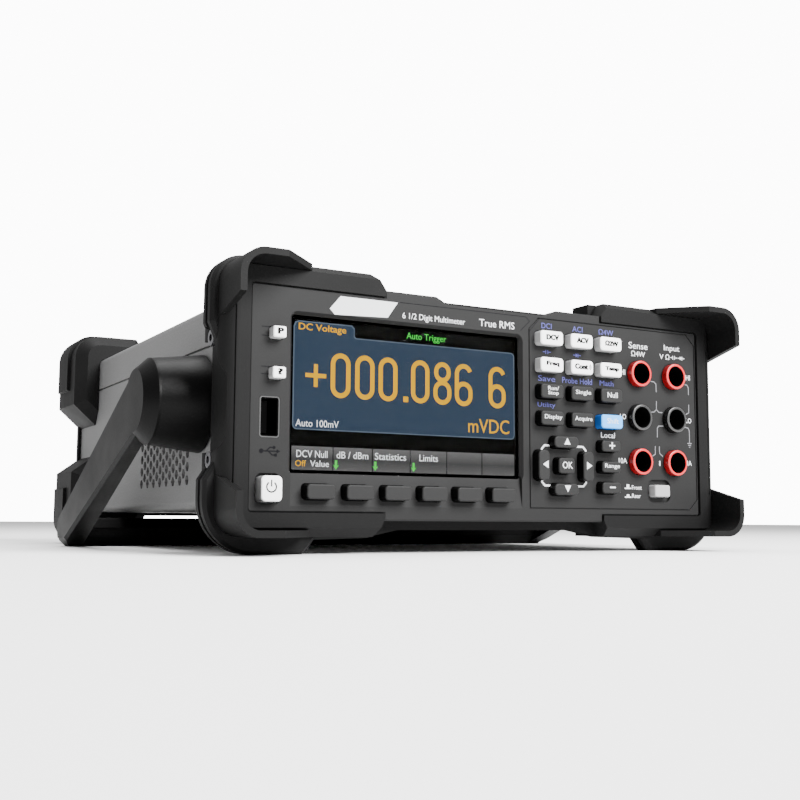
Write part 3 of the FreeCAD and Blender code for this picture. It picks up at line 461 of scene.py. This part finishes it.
def readingPanel(bm, inset, front, back):
    # tabbed panel behind the reading; inset gives its light border or its blue inside
    p = screenPicture
    left, right, low = p["left"] + inset, p["right"] - inset, p["low"] + inset
    top, tabTop, tabEnd = p["top"] - inset, p["tabTop"] - inset, p["tabEnd"]
    r = p["corner"] - inset / 2
    ring = roundedCorners(left, right, low, top, r)[:15]
    ring += [(tabEnd + 0.7 - inset, top), (tabEnd - inset, top + 0.6), (tabEnd - inset, tabTop - 1.0)]
    ring += [(tabEnd - inset - 1.0, tabTop), (left + 2.0, tabTop), (left + 0.6, tabTop - 0.5)]
    ring.append((left, tabTop - 2.0))
    addPlate(bm, ring, front, back)


def arcPoints(cx, cz, rx, rz, start, end, steps=14):
    turns = [math.radians(start + (end - start) * k / steps) for k in range(steps + 1)]
    return [(cx + rx * math.cos(a), cz + rz * math.sin(a)) for a in turns]


digitShape = {"wide": 7.9, "high": 16.2, "stroke": 1.75}


def addLoop(bm, cx, cz, rx, rz, straight):
    # closed oval with straight sides, as wide as the digit's stroke
    p = screenPicture
    rings = []
    for cut in (0, digitShape["stroke"]):
        top = arcPoints(cx, cz + straight, rx - cut, rz - cut, 0, 180)
        under = arcPoints(cx, cz - straight, rx - cut, rz - cut, 180, 360)
        rings.append(top + under)
    addFrame(bm, rings[0], rings[1], p["words"] - p["proud"], p["words"] + p["sunk"])


def addDigit(bm, sign, left, low):
    w, h, s = digitShape["wide"], digitShape["high"], digitShape["stroke"]
    cx, r = left + w / 2, w / 2
    if sign == "0":
        addLoop(bm, cx, low + h / 2, r, r, h / 2 - r)
    if sign == "8":
        addLoop(bm, cx, low + h * 0.285, r, r, h * 0.285 - r)
        addLoop(bm, cx, low + h * 0.76, r - 0.3, r - 0.2, h * 0.24 - r + 0.2)
    if sign == "6":
        addLoop(bm, cx, low + h * 0.29, r, r, h * 0.29 - r)
        arm = [(left + s / 2, low + h * 0.3), (left + s / 2, low + h - r)]
        arm += arcPoints(cx, low + h - r, r - s / 2, r - s / 2, 180, 20)[1:]
        p = screenPicture
        addPlate(bm, ribbonCorners(arm, s), p["words"] - p["proud"] + 0.01, p["words"] + p["sunk"])


readingDigits = {"low": 55.5, "signs": (("0", -70.7), ("0", -60.9), ("0", -51.3), ("0", -37.6),
                                        ("8", -27.9), ("6", -18.4), ("6", -3.0))}
readingSigns = {"point": (-40.9, -38.8, 55.6, 57.7), "plusUp": (-77.3, -75.8, 58.9, 67.1),
                "plusAcross": [(-80.6, 63.0), (-72.5, 63.0)], "plusWide": 1.5}
# words on the screen with their left, right, low and top; the amber ones also with their boldness
amberWords = [("mVDC", -12.4, 6.5, 45.6, 51.0, 0), ("DC Voltage", -83.4, -64.7, 78.3, 81.5, 0.012),
              ("Off", -84.0, -79.9, 30.7, 32.8, 0)]
triggerWords = ("Auto Trigger", -39.5, -22.2, 78.7, 81.9)
paleWords = [("Auto 100mV", -84.1, -67.3, 44.7, 47.2), ("DCV Null", -83.6, -71.6, 33.9, 36.4),
             ("dB / dBm", -68.0, -55.3, 33.9, 36.4), ("Statistics", -52.6, -39.6, 33.9, 36.4),
             ("Limits", -33.9, -25.9, 33.9, 36.4), ("Value", -78.3, -71.0, 30.7, 32.9)]
menuArrow = {"columns": (-68.2, -52.4, -36.4),
             "outline": [(0, 29.9), (1.1, 31.5), (0.45, 31.3), (0.45, 33.2), (-0.45, 33.2), (-0.45, 31.3),
                         (-1.1, 31.5)]}


def buildScreen():
    p = screenPicture
    blue, edge, amber, green, white = (bmesh.new() for _ in range(5))
    readingPanel(edge, 0, p["panel"], p["back"])
    readingPanel(blue, p["margin"], p["line"], p["panel"] + p["sunk"])
    front, back = p["words"] - p["proud"], p["words"] + p["sunk"]
    for sign, left in readingDigits["signs"]:
        addDigit(amber, sign, left, readingDigits["low"])
    signs = readingSigns
    addPlate(amber, roundedCorners(*signs["point"], 0.2, 1), front, back)
    addPlate(amber, ribbonCorners(signs["plusAcross"], signs["plusWide"]), front, back)
    addPlate(amber, roundedCorners(*signs["plusUp"], 0.1, 1), front - 0.01, back)
    for words, x0, x1, z0, z1, bold in amberWords:
        addWords(amber, words, x0, x1, z0, z1, p["words"], bold=bold)
    addWords(green, *triggerWords, p["back"])
    for x in menuArrow["columns"]:
        addPlate(green, [(x + dx, z) for dx, z in menuArrow["outline"]], front, back)
    for words in paleWords:
        addWords(white, *words, p["words"])
    strip = bmesh.new()
    s = labelStrip
    corners = roundedCorners(s["left"], s["right"], s["low"], s["top"], 0.3, 1)
    addPlate(strip, corners, p["panel"], p["back"])
    for name, bm, material in (("readingPanel", blue, litMaterial("panelBlue", (0.052, 0.083, 0.138))),
                               ("panelBorder", edge, litMaterial("panelEdge", (0.17, 0.23, 0.31))),
                               ("amberReading", amber, litMaterial("amberLight", (1.0, 0.50, 0.0), 1.25)),
                               ("greenMarks", green, litMaterial("greenLight", (0.06, 0.80, 0.08), 1.2)),
                               ("whiteMarks", white, litMaterial("whiteLight", (0.86, 0.88, 0.9), 1.8)),
                               ("keyLabels", strip, stripMaterial())):
        finishPiece(name, closeMesh(bm, name), material, "meter")


buildScreen()
print("screen picture built")


def rowTree(name, material):
    # a straight row of equal bars, first one at Start, then one every Step
    tree = bpy.data.node_groups.new(name, "GeometryNodeTree")
    face = tree.interface
    face.new_socket("Geometry", in_out="OUTPUT", socket_type="NodeSocketGeometry")
    for label, kind in (("Count", "Int"), ("Start", "Vector"), ("Step", "Vector"), ("Bar size", "Vector")):
        face.new_socket(label, in_out="INPUT", socket_type="NodeSocket" + kind)
    nodes, links = tree.nodes, tree.links
    given, result = nodes.new("NodeGroupInput"), nodes.new("NodeGroupOutput")
    line = nodes.new("GeometryNodeMeshLine")
    line.mode = "OFFSET"
    bar = nodes.new("GeometryNodeMeshCube")
    spread = nodes.new("GeometryNodeInstanceOnPoints")
    real = nodes.new("GeometryNodeRealizeInstances")
    paint = nodes.new("GeometryNodeSetMaterial")
    paint.inputs["Material"].default_value = material
    links.new(given.outputs["Count"], line.inputs["Count"])
    links.new(given.outputs["Start"], line.inputs["Start Location"])
    links.new(given.outputs["Step"], line.inputs["Offset"])
    links.new(given.outputs["Bar size"], bar.inputs["Size"])
    links.new(line.outputs["Mesh"], spread.inputs["Points"])
    links.new(bar.outputs["Mesh"], spread.inputs["Instance"])
    links.new(spread.outputs["Instances"], real.inputs["Geometry"])
    links.new(real.outputs["Geometry"], paint.inputs["Geometry"])
    links.new(paint.outputs["Geometry"], result.inputs["Geometry"])
    return tree


def growPiece(name, tree, values, material):
    # runs a tree with these inputs and keeps its result as a plain mesh
    holder = bpy.data.objects.new(name + "Grower", bpy.data.meshes.new(name + "Grower"))
    bpy.context.scene.collection.objects.link(holder)
    grower = holder.modifiers.new("grow", "NODES")
    grower.node_group = tree
    for item in tree.interface.items_tree:
        if item.in_out == "INPUT" and item.name in values:
            grower[item.identifier] = values[item.name]
    bpy.context.view_layer.update()
    ready = holder.evaluated_get(bpy.context.evaluated_depsgraph_get())
    mesh = bpy.data.meshes.new_from_object(ready)
    holder.modifiers.remove(grower)
    bpy.data.objects.remove(holder)
    return finishPiece(name, mesh, material, "meter")


usbPins = {"count": 4, "pitch": 2.4, "size": (0.12, 7.0, 1.1)}
lanPins = {"count": 8, "pitch": 1.02, "size": (0.4, 4.0, 0.3), "fromSide": 4.4, "deep": 6.0, "up": 3.4}


def buildRows():
    s, p = labelStrip, screenPicture
    middle = (s["low"] + s["top"]) / 2
    dark = inks["dark"]
    growPiece("labelDividers", rowTree("labelDividerRow", dark), {
        "Count": s["count"], "Start": spot(s["firstLine"], p["panel"], middle),
        "Step": Vector((s["pitch"], 0, 0)) / 1000,
        "Bar size": Vector((s["lineWide"], 0.08, s["top"] - s["low"])) / 1000}, dark)
    brass = finishes["contact_brass"]
    low, high = (v * 1000 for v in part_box("usb_socket"))
    u = usbPins
    first = spot((low.x + high.x) / 2 - 0.22, 7.5, (low.z + high.z) / 2 - u["pitch"] * (u["count"] - 1) / 2)
    growPiece("usbContacts", rowTree("usbContactRow", brass), {
        "Count": u["count"], "Start": first, "Step": Vector((0, 0, u["pitch"])) / 1000,
        "Bar size": Vector(u["size"]) / 1000}, brass)
    low, high = (v * 1000 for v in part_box("data_sockets"))
    n = lanPins
    first = spot(high.x - n["fromSide"], high.y - panelY - n["deep"], (low.z + high.z) / 2 + n["up"])
    growPiece("networkContacts", rowTree("networkContactRow", brass), {
        "Count": n["count"], "Start": first, "Step": Vector((-n["pitch"], 0, 0)) / 1000,
        "Bar size": Vector(n["size"]) / 1000}, brass)


buildRows()
print("rows grown")


# small parts on the main board, scattered over a grid
boardParts = {"columns": 5, "rows": 11, "wide": 34.0, "long": 90.0, "seed": 7, "x": -17.0,
              "smallest": (1.6, 1.2, 0.5), "largest": (5.0, 6.0, 2.4)}


def scatterTree(material):
    tree = bpy.data.node_groups.new("boardScatter", "GeometryNodeTree")
    face = tree.interface
    face.new_socket("Geometry", in_out="OUTPUT", socket_type="NodeSocketGeometry")
    for label, kind in (("Columns", "Int"), ("Rows", "Int"), ("Wide", "Float"), ("Long", "Float"),
                        ("Middle", "Vector"), ("Smallest", "Vector"), ("Largest", "Vector"),
                        ("Seed", "Int")):
        face.new_socket(label, in_out="INPUT", socket_type="NodeSocket" + kind)
    nodes, links = tree.nodes, tree.links
    given, result = nodes.new("NodeGroupInput"), nodes.new("NodeGroupOutput")
    grid, shift = nodes.new("GeometryNodeMeshGrid"), nodes.new("GeometryNodeTransform")
    part, lift = nodes.new("GeometryNodeMeshCube"), nodes.new("GeometryNodeTransform")
    part.inputs["Size"].default_value = (1, 1, 1)
    lift.inputs["Translation"].default_value = (0, 0, 0.48)
    size = nodes.new("FunctionNodeRandomValue")
    size.data_type = "FLOAT_VECTOR"
    spread = nodes.new("GeometryNodeInstanceOnPoints")
    real, paint = nodes.new("GeometryNodeRealizeInstances"), nodes.new("GeometryNodeSetMaterial")
    paint.inputs["Material"].default_value = material
    links.new(given.outputs["Columns"], grid.inputs["Vertices X"])
    links.new(given.outputs["Rows"], grid.inputs["Vertices Y"])
    links.new(given.outputs["Wide"], grid.inputs["Size X"])
    links.new(given.outputs["Long"], grid.inputs["Size Y"])
    links.new(given.outputs["Middle"], shift.inputs["Translation"])
    links.new(grid.outputs["Mesh"], shift.inputs["Geometry"])
    links.new(shift.outputs["Geometry"], spread.inputs["Points"])
    links.new(part.outputs["Mesh"], lift.inputs["Geometry"])
    links.new(lift.outputs["Geometry"], spread.inputs["Instance"])
    links.new(given.outputs["Smallest"], size.inputs["Min"])
    links.new(given.outputs["Largest"], size.inputs["Max"])
    links.new(given.outputs["Seed"], size.inputs["Seed"])
    links.new(size.outputs["Value"], spread.inputs["Scale"])
    links.new(spread.outputs["Instances"], real.inputs["Geometry"])
    links.new(real.outputs["Geometry"], paint.inputs["Geometry"])
    links.new(paint.outputs["Geometry"], result.inputs["Geometry"])
    return tree


def buildBoardParts():
    b = boardParts
    low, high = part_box("main_board")
    middle = Vector((b["x"] / 1000, (low.y + high.y) / 2, high.z))
    black = finishes["screen_black"]
    growPiece("boardParts", scatterTree(black), {
        "Columns": b["columns"], "Rows": b["rows"], "Wide": b["wide"] / 1000, "Long": b["long"] / 1000,
        "Middle": middle, "Smallest": Vector(b["smallest"]) / 1000, "Largest": Vector(b["largest"]) / 1000,
        "Seed": b["seed"]}, black)


buildBoardParts()
print("board parts scattered")


# dark liners in the jacks, painted shade inside their wells, and the rim of the USB socket
jackShadeLiner = {"outer": 4.41, "inner": 4.2, "front": -2.6, "back": 6.0, "steps": 32}
usbRim = {"outer": 0.5, "inner": 0.1, "front": 0.1, "back": 0.5, "corner": 0.6}


def circleCorners(x, z, radius, steps):
    return [(x + radius * math.cos(2 * math.pi * k / steps), z + radius * math.sin(2 * math.pi * k / steps))
            for k in range(steps)]


def buildLiners():
    j = jackShadeLiner
    redLow, redHigh = (v * 1000 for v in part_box("red_jacks"))
    blackLow, blackHigh = (v * 1000 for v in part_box("black_jacks"))
    reach = (blackHigh.z - blackLow.z) / 2
    columns = (redLow.x + reach, redHigh.x - reach)
    rows = (redHigh.z - reach, (blackLow.z + blackHigh.z) / 2, redLow.z + reach)
    bm = bmesh.new()
    for x in columns:
        for z in rows:
            rings = [circleCorners(x, z, j[side], j["steps"]) for side in ("outer", "inner")]
            addFrame(bm, rings[0], rings[1], j["front"], j["back"])
    finishPiece("jackShadeLiners", closeMesh(bm, "jackShadeLiners"), finishes["jackWellShade"], "meter")
    u = usbRim
    low, high = (v * 1000 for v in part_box("usb_socket"))
    rings = [roundedCorners(low.x - grow, high.x + grow, low.z - grow, high.z + grow, u["corner"] + grow)
             for grow in (u["outer"], u["inner"])]
    bm = bmesh.new()
    addFrame(bm, rings[0], rings[1], u["front"], u["back"])
    finishPiece("usbRim", closeMesh(bm, "usbRim"), finishes["usbRim"], "meter")


buildLiners()
print("liners built")


# black marks are thickened by their outline and by repeating them a little to the side
keyMarks = {"face": -4.0, "high": 2.15, "shiftX": 0.2, "shiftZ": 0.25, "blackStrokes": (-0.12, 0.0, 0.12),
            "blackBold": 0.035, "proud": 0.05, "sunk": 0.03, "okTaller": 0.5}
keyWords = {
    "dc_volts_key": ("DCV", 6.0), "ac_volts_key": ("ACV", 5.9), "two_wire_ohms_key": ("Ω2W", 6.7),
    "frequency_key": ("Freq", 6.0), "continuity_key": ("Cont", 6.4), "temperature_key": ("Temp", 6.8),
    "single_key": ("Single", 7.6), "null_key": ("Null", 5.2), "display_key": ("Display", 8.4),
    "acquire_key": ("Acquire", 8.6), "shift_key": ("Shift", 6.0), "nav_ok_key": ("OK", 4.9),
    "range_key": ("Range", 7.6), "print_key": ("P", 2.1), "help_key": ("?", 1.8),
}


soundArcs = {"left": 0.8, "gap": 0.3, "radii": (0.75, 1.35), "line": 0.32}    # beside the continuity word
navArrows = [("nav_up_key", 0, 0.2), ("nav_left_key", 90, 0.5), ("nav_right_key", -90, 0.2),
             ("nav_down_key", 180, 0.2)]    # turn in degrees and step to the right
navRise = 0.3
rangeBars = {"minus": (-1.25, 1.65, -0.05, 0.5), "plus": (-0.08, 0.48, -1.1, 1.6)}
runStopWords = [("Run/", -2.3, 2.9, 0.45, 2.0), ("Stop", -2.3, 2.8, -1.7, 0.05)]
powerSign = {"left": 0.2, "rise": 0.6, "radius": 1.75, "start": 125, "end": 415, "line": 0.5,
             "bar": (-0.45, 0.05, 0.7, 3.0)}


def keyMiddle(name):
    low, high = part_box(name)
    return (low.x + high.x) * 500, (low.z + high.z) * 500


def triangleCorners(x, z, turn, size=1.5):
    ring = [(-size, -size * 0.85), (size, -size * 0.85), (0, size * 0.9)]
    c, s = math.cos(math.radians(turn)), math.sin(math.radians(turn))
    return [(x + a * c - b * s, z + a * s + b * c) for a, b in ring]


def markKey(name, bm, ink):
    finishPiece(name + "_marks", closeMesh(bm, name + "Marks"), ink, name)


def buildKeyMarks():
    k = keyMarks
    front, back = k["face"] - k["proud"], k["face"] + k["sunk"]
    for name, (words, wide) in keyWords.items():
        x, z = keyMiddle(name)
        x, z = x + k["shiftX"], z + k["shiftZ"]
        high = k["high"] + (k["okTaller"] if name == "nav_ok_key" else 0)
        strokes = k["blackStrokes"] if name in whiteKeys else [0]
        bold = k["blackBold"] if name in whiteKeys else 0
        bm = bmesh.new()
        if name == "continuity_key":
            x -= soundArcs["left"]
            for r in soundArcs["radii"]:
                arc = arcPoints(x + wide / 2 + soundArcs["gap"], z, r, r * 1.05, -50, 50, 6)
                addPlate(bm, ribbonCorners(arc, soundArcs["line"]), front, back)
        for i, step in enumerate(strokes):
            left, right = x - wide / 2 + step, x + wide / 2 + step
            thick = 0.08 + 0.01 * i
            addWords(bm, words, left, right, z - high / 2, z + high / 2, k["face"], thick, bold)
        markKey(name, bm, inks["black"] if name in whiteKeys else inks["white"])
    for name, turn, step in navArrows:
        x, z = keyMiddle(name)
        bm = bmesh.new()
        addPlate(bm, triangleCorners(x + step, z + navRise, turn), front, back)
        markKey(name, bm, inks["white"])
    for name in ("range_up_key", "range_down_key"):
        x, z = keyMiddle(name)
        bm = bmesh.new()
        x0, x1, z0, z1 = rangeBars["minus"]
        addPlate(bm, roundedCorners(x + x0, x + x1, z + z0, z + z1, 0.1, 1), front, back)
        if name == "range_up_key":
            x0, x1, z0, z1 = rangeBars["plus"]
            addPlate(bm, roundedCorners(x + x0, x + x1, z + z0, z + z1, 0.1, 1), front - 0.01, back)
        markKey(name, bm, inks["white"])
    x, z = keyMiddle("run_stop_key")
    bm = bmesh.new()
    for words, x0, x1, z0, z1 in runStopWords:
        addWords(bm, words, x + x0, x + x1, z + z0, z + z1, k["face"])
    markKey("run_stop_key", bm, inks["white"])
    x, z = keyMiddle("power_button")
    bm = bmesh.new()
    sign = powerSign
    ring = arcPoints(x - sign["left"], z + sign["rise"], sign["radius"], sign["radius"], sign["start"],
                     sign["end"], 24)
    addPlate(bm, ribbonCorners(ring, sign["line"]), front, back)
    x0, x1, z0, z1 = sign["bar"]
    addPlate(bm, roundedCorners(x + x0, x + x1, z + z0, z + z1, 0.05, 1), front, back)
    markKey("power_button", bm, inks["dark"])


buildKeyMarks()
print("keys marked")


# printing on the control panel; each word has its left, right, low and top
panelPrint = {"front": -0.05, "back": 0.05, "fine": 0.35, "bracket": 0.75, "shade": 0.2}
violetWords = [("DCI", 20.4, 25.4, 88.4, 90.6), ("ACI", 35.8, 41.0, 88.4, 90.6),
               ("Ω4W", 49.3, 57.0, 88.4, 90.7), ("Save", 18.6, 26.9, 67.2, 69.5),
               ("Probe Hold", 30.4, 45.5, 67.2, 69.5), ("Math", 49.5, 56.7, 67.3, 69.4),
               ("Utility", 18.2, 26.8, 56.4, 58.8)]
whiteWords = [("Local", 49.8, 57.0, 46.0, 48.2), ("Sense", 65.2, 75.4, 84.0, 86.7),
              ("Ω4W", 66.5, 74.0, 80.8, 83.1), ("Input", 84.6, 93.4, 83.9, 87.0),
              ("V Ω", 82.1, 87.6, 80.7, 83.0), ("HI", 60.6, 63.0, 72.6, 74.8),
              ("HI", 96.6, 99.0, 72.6, 74.8), ("LO", 60.0, 63.1, 54.1, 56.2),
              ("LO", 96.2, 99.2, 54.1, 56.2), ("10A", 58.9, 63.2, 35.9, 38.0),
              ("3A", 95.9, 98.9, 35.9, 38.0), ("Front", 65.6, 70.8, 25.2, 26.9),
              ("Rear", 65.6, 70.3, 21.8, 23.5), ("I", 80.7, 81.3, 35.4, 37.4),
              ("6 1/2 Digit Multimeter", -43.0, -15.6, 85.7, 88.6), ("True RMS", -9.1, 7.3, 86.6, 89.4)]
# thin lines that tie the jacks together, each from point to point
jackLines = [
    [(76.9, 70.8), (78.6, 70.7), (79.7, 69.8), (79.8, 66.4)],
    [(79.8, 62.6), (79.7, 59.0), (78.4, 57.9), (76.9, 57.8)],
    [(79.7, 59.0), (81.0, 57.9), (83.0, 57.9)],
    [(95.9, 70.6), (97.2, 70.5), (98.0, 69.3), (98.0, 66.3)],
    [(98.0, 62.1), (97.9, 58.6), (96.2, 57.7)],
    [(83.4, 52.2), (80.8, 52.1), (80.0, 51.2), (79.9, 47.3)],
    [(95.3, 52.3), (97.3, 52.0), (98.0, 50.8), (98.0, 45.6)],
    [(78.7, 43.6), (78.6, 40.2), (77.0, 39.3)],
    [(80.9, 43.5), (81.0, 40.6), (82.8, 39.3)],
    [(96.8, 45.4), (99.2, 45.4)], [(97.2, 44.6), (98.8, 44.6)], [(97.7, 43.8), (98.3, 43.8)]]
# capacitor and diode signs: middle, and whether on a key's shifted function (violet) or at a jack (white)
circuitSigns = [(22.9, 79.0, "plates", "violet"), (38.0, 78.8, "diode", "violet"),
                (90.0, 81.8, "plates", "white"), (94.2, 81.8, "diode", "white")]
signSize = {"line": 0.3, "lead": 1.9, "gap": 0.5, "plate": 0.8, "arrowBack": 0.7, "arrowTip": 0.6}
okBrackets = {"x": 30.9, "z": 33.9, "halfWide": 10.9, "halfHigh": 7.9,
              "steps": ((4.6, 0), (1.4, 0), (0, 1.4), (0, 2.4))}
switchSigns = {"x": 63.5, "out": 26.3, "in": 22.7}
blankPlate = [(-72.7, 87.1), (-70.7, 85.1), (-49.2, 86.0), (-45.0, 92.0), (-68.5, 92.0)]
keyTicks = {"left": -98.5, "right": -95.4, "heights": (78.4, 64.5, 75.3, 61.9)}
panelSeams = [[(-44.0, 92.2), (12.8, 92.2), (14.6, 90.6), (10.2, 86.5)],
              [(14.2, 86.3), (19.6, 92.3), (22.0, 92.3)]]
usbTrident = {"x": -94.5, "z": 35.4, "line": 0.4, "rise": 1.3}


def circuitSign(bm, x, z, kind):
    p, s = panelPrint, signSize
    front, back, line = p["front"], p["back"], s["line"]
    addPlate(bm, ribbonCorners([(x - s["lead"], z), (x - s["gap"], z)], line), front, back)
    addPlate(bm, ribbonCorners([(x + s["gap"], z), (x + s["lead"], z)], line), front, back)
    bar = [(x + s["gap"], z - s["plate"]), (x + s["gap"], z + s["plate"])]
    addPlate(bm, ribbonCorners(bar, line), front - 0.01, back)
    if kind == "plates":
        bar = [(x - s["gap"], z - s["plate"]), (x - s["gap"], z + s["plate"])]
        addPlate(bm, ribbonCorners(bar, line), front - 0.01, back)
    else:
        left, tip = x - s["arrowBack"], x + s["arrowTip"]
        arrow = [(left, z - s["plate"]), (tip, z), (left, z + s["plate"])]
        addPlate(bm, arrow, front - 0.01, back)


def buildPanelPrint():
    p = panelPrint
    front, back = p["front"], p["back"]
    violet, white, fine, dark = (bmesh.new() for _ in range(4))
    for words, x0, x1, z0, z1 in violetWords:
        addWords(violet, words, x0, x1, z0, z1, 0)
    for words, x0, x1, z0, z1 in whiteWords:
        addWords(white, words, x0, x1, z0, z1, 0)
    for x, z, kind, ink in circuitSigns:
        circuitSign(white if ink == "white" else violet, x, z, kind)
    for points in jackLines:
        addPlate(fine, ribbonCorners(points, p["fine"]), front, back)
    o = okBrackets
    for sx, sz in ((-1, 1), (1, 1), (-1, -1), (1, -1)):
        x, z = o["x"] + sx * o["halfWide"], o["z"] + sz * o["halfHigh"]
        corner = [(x - sx * dx, z - sz * dz) for dx, dz in o["steps"]]
        addPlate(white, ribbonCorners(corner, p["bracket"]), front, back)
    x = switchSigns["x"]
    for z, out in ((switchSigns["out"], 1), (switchSigns["in"], 0)):
        addPlate(white, roundedCorners(x - 1.7, x + 1.7, z - 0.9, z - 0.4, 0.1, 1), front, back)
        low, high = z - 0.5 - 0.3 * (1 - out), z + 0.5 + 0.5 * out
        addPlate(white, roundedCorners(x - 0.7, x + 0.7, low, high, 0.2, 1), front - 0.01, back)
    addPlate(white, blankPlate, front, back)
    usbSign(dark)
    for z in keyTicks["heights"]:
        tick = [(keyTicks["left"], z), (keyTicks["right"], z)]
        addPlate(dark, ribbonCorners(tick, p["shade"]), front, back)
    for points in panelSeams:
        addPlate(dark, ribbonCorners(points, p["shade"]), front, back)
    for name, bm, ink in (("violetPrint", violet, "violet"), ("whitePrint", white, "white"),
                          ("jackLines", fine, "grey"), ("darkPrint", dark, "dark")):
        finishPiece(name, closeMesh(bm, name), inks[ink], "meter")


def usbSign(bm):
    # trident sign under the socket; each part stands a little prouder than the last
    front, back = panelPrint["front"], panelPrint["back"]
    u = usbTrident
    x, z, rise = u["x"], u["z"], u["rise"]
    arms = [[(x - 3.4, z), (x + 2.4, z)], [(x - 1.6, z), (x - 0.2, z + rise), (x + 0.9, z + rise)],
            [(x - 0.8, z), (x + 0.6, z - rise), (x + 1.5, z - rise)]]
    for i, arm in enumerate(arms):
        addPlate(bm, ribbonCorners(arm, u["line"]), front - 0.01 * i, back)
    ends = [[(x + 2.3, z - 0.7), (x + 3.6, z), (x + 2.3, z + 0.7)],
            arcPoints(x - 3.4, z, 0.8, 0.8, 0, 330, 11),
            arcPoints(x + 1.3, z + rise, 0.55, 0.55, 0, 330, 11),
            roundedCorners(x + 1.4, x + 2.4, z - 1.8, z - 0.8, 0.1, 1)]
    for end in ends:
        addPlate(bm, end, front - 0.03, back)


buildPanelPrint()
print("panel printed")


# printing on the rear panel; each word has its rise and width
rearWords = [("HI", 26.4, 2.6), ("LO", 8.1, 2.8), ("3A", -10.2, 2.8)]


def buildRearPrint():
    # beside the rear sockets, seen from behind
    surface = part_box("rear_panel")[1].y * 1000 - panelY
    low, high = (v * 1000 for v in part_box("rear_jacks"))
    middle = (low.z + high.z) / 2 - 8.1
    bm = bmesh.new()
    for words, rise, wide in rearWords:
        z = middle + rise
        addWords(bm, words, low.x - 1.5 - wide, low.x - 1.5, z - 1.1, z + 1.1, surface, rear=True)
    addWords(bm, "Input", low.x + 0.6, low.x + 9.6, high.z + 1.2, high.z + 3.8, surface, rear=True)
    addWords(bm, "Sense", high.x - 9.8, high.x - 0.4, high.z + 1.2, high.z + 3.8, surface, rear=True)
    low, high = (v * 1000 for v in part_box("data_sockets"))
    addWords(bm, "LAN", high.x - 11.5, high.x - 4.5, high.z + 1.2, high.z + 3.4, surface, rear=True)
    addWords(bm, "USB", low.x + 2.5, low.x + 9.5, high.z + 1.2, high.z + 3.4, surface, rear=True)
    low, high = (v * 1000 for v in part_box("trigger_sockets"))
    addWords(bm, "Trig In", low.x - 0.4, low.x + 10.0, high.z + 1.2, high.z + 3.6, surface, rear=True)
    addWords(bm, "Trig Out", high.x - 11.0, high.x + 1.0, high.z + 1.2, high.z + 3.6, surface, rear=True)
    finishPiece("rearPrint", closeMesh(bm, "rearPrint"), inks["black"], "meter")


buildRearPrint()
print("rear panel printed")


studio = {"floorGrey": 0.86, "floorReach": 6.0, "ambient": 0.85, "backdrop": 12.0, "lampSize": 0.7,
          "keyWatts": 64.0, "keyPlace": (0.35, -0.95, 0.75), "topWatts": 16.0, "topPlace": (-0.1, 0.1, 1.0),
          "aim": (0, 0, 0.05)}


def makeFloor():
    bm = bmesh.new()
    reach = studio["floorReach"]
    corners = ((-reach, -reach, 0), (reach, -reach, 0), (reach, reach, 0), (-reach, reach, 0))
    bm.faces.new([bm.verts.new(c) for c in corners])
    mesh = bpy.data.meshes.new("floor")
    bm.to_mesh(mesh)
    bm.free()
    floor = bpy.data.objects.new("floor", mesh)
    bpy.context.scene.collection.objects.link(floor)
    material, shader = newMaterial("paleFloor")
    soft = addNoise(material, 3, 2)
    grey = studio["floorGrey"]
    tone = addMix(material, soft.outputs["Fac"], (grey - 0.01,) * 3, (grey + 0.01,) * 3)
    material.node_tree.links.new(tone, shader.inputs["Base Color"])
    shader.inputs["Roughness"].default_value = 0.8
    mesh.materials.append(material)


def makeLamp(name, watts, place):
    light = bpy.data.lights.new(name, "AREA")
    light.energy = watts
    light.size = studio["lampSize"]
    lamp = bpy.data.objects.new(name, light)
    bpy.context.scene.collection.objects.link(lamp)
    lamp.location = place
    lamp.rotation_euler = (Vector(studio["aim"]) - lamp.location).to_track_quat("-Z", "Y").to_euler()


def makeLights():
    # the backdrop is brighter to look at than the soft light it gives
    world = bpy.data.worlds.new("studio")
    bpy.context.scene.world = world
    world.use_nodes = True
    nodes, links = world.node_tree.nodes, world.node_tree.links
    path, level = nodes.new("ShaderNodeLightPath"), nodes.new("ShaderNodeMapRange")
    level.inputs["To Min"].default_value = studio["ambient"]
    level.inputs["To Max"].default_value = studio["backdrop"]
    background = nodes["Background"]
    background.inputs["Color"].default_value = (1, 1, 1, 1)
    links.new(path.outputs["Is Camera Ray"], level.inputs["Value"])
    links.new(level.outputs["Result"], background.inputs["Strength"])
    makeLamp("keyLamp", studio["keyWatts"], studio["keyPlace"])
    makeLamp("topLamp", studio["topWatts"], studio["topPlace"])


cameraSetup = {"place": (-0.2399, -0.45803, 0.01179), "yaw": 29.17, "pitch": 6.26, "roll": 0.29,
               "lens": 49.71}


def makeCamera():
    setup = cameraSetup
    data = bpy.data.cameras.new("camera")
    data.lens = setup["lens"]
    data.sensor_width = 36
    data.clip_start = 0.01
    cam = bpy.data.objects.new("camera", data)
    bpy.context.scene.collection.objects.link(cam)
    yaw, pitch, roll = (math.radians(setup[k]) for k in ("yaw", "pitch", "roll"))
    forward = Vector((math.sin(yaw) * math.cos(pitch), math.cos(yaw) * math.cos(pitch), math.sin(pitch)))
    level = Vector((math.cos(yaw), -math.sin(yaw), 0))
    rise = level.cross(forward)
    right = level * math.cos(roll) + rise * math.sin(roll)
    up = right.cross(forward)
    turn = Matrix((right, up, -forward)).transposed()
    cam.matrix_world = Matrix.Translation(Vector(setup["place"])) @ turn.to_4x4()
    bpy.context.scene.camera = cam


makeFloor()
makeLights()
makeCamera()
print("studio ready")
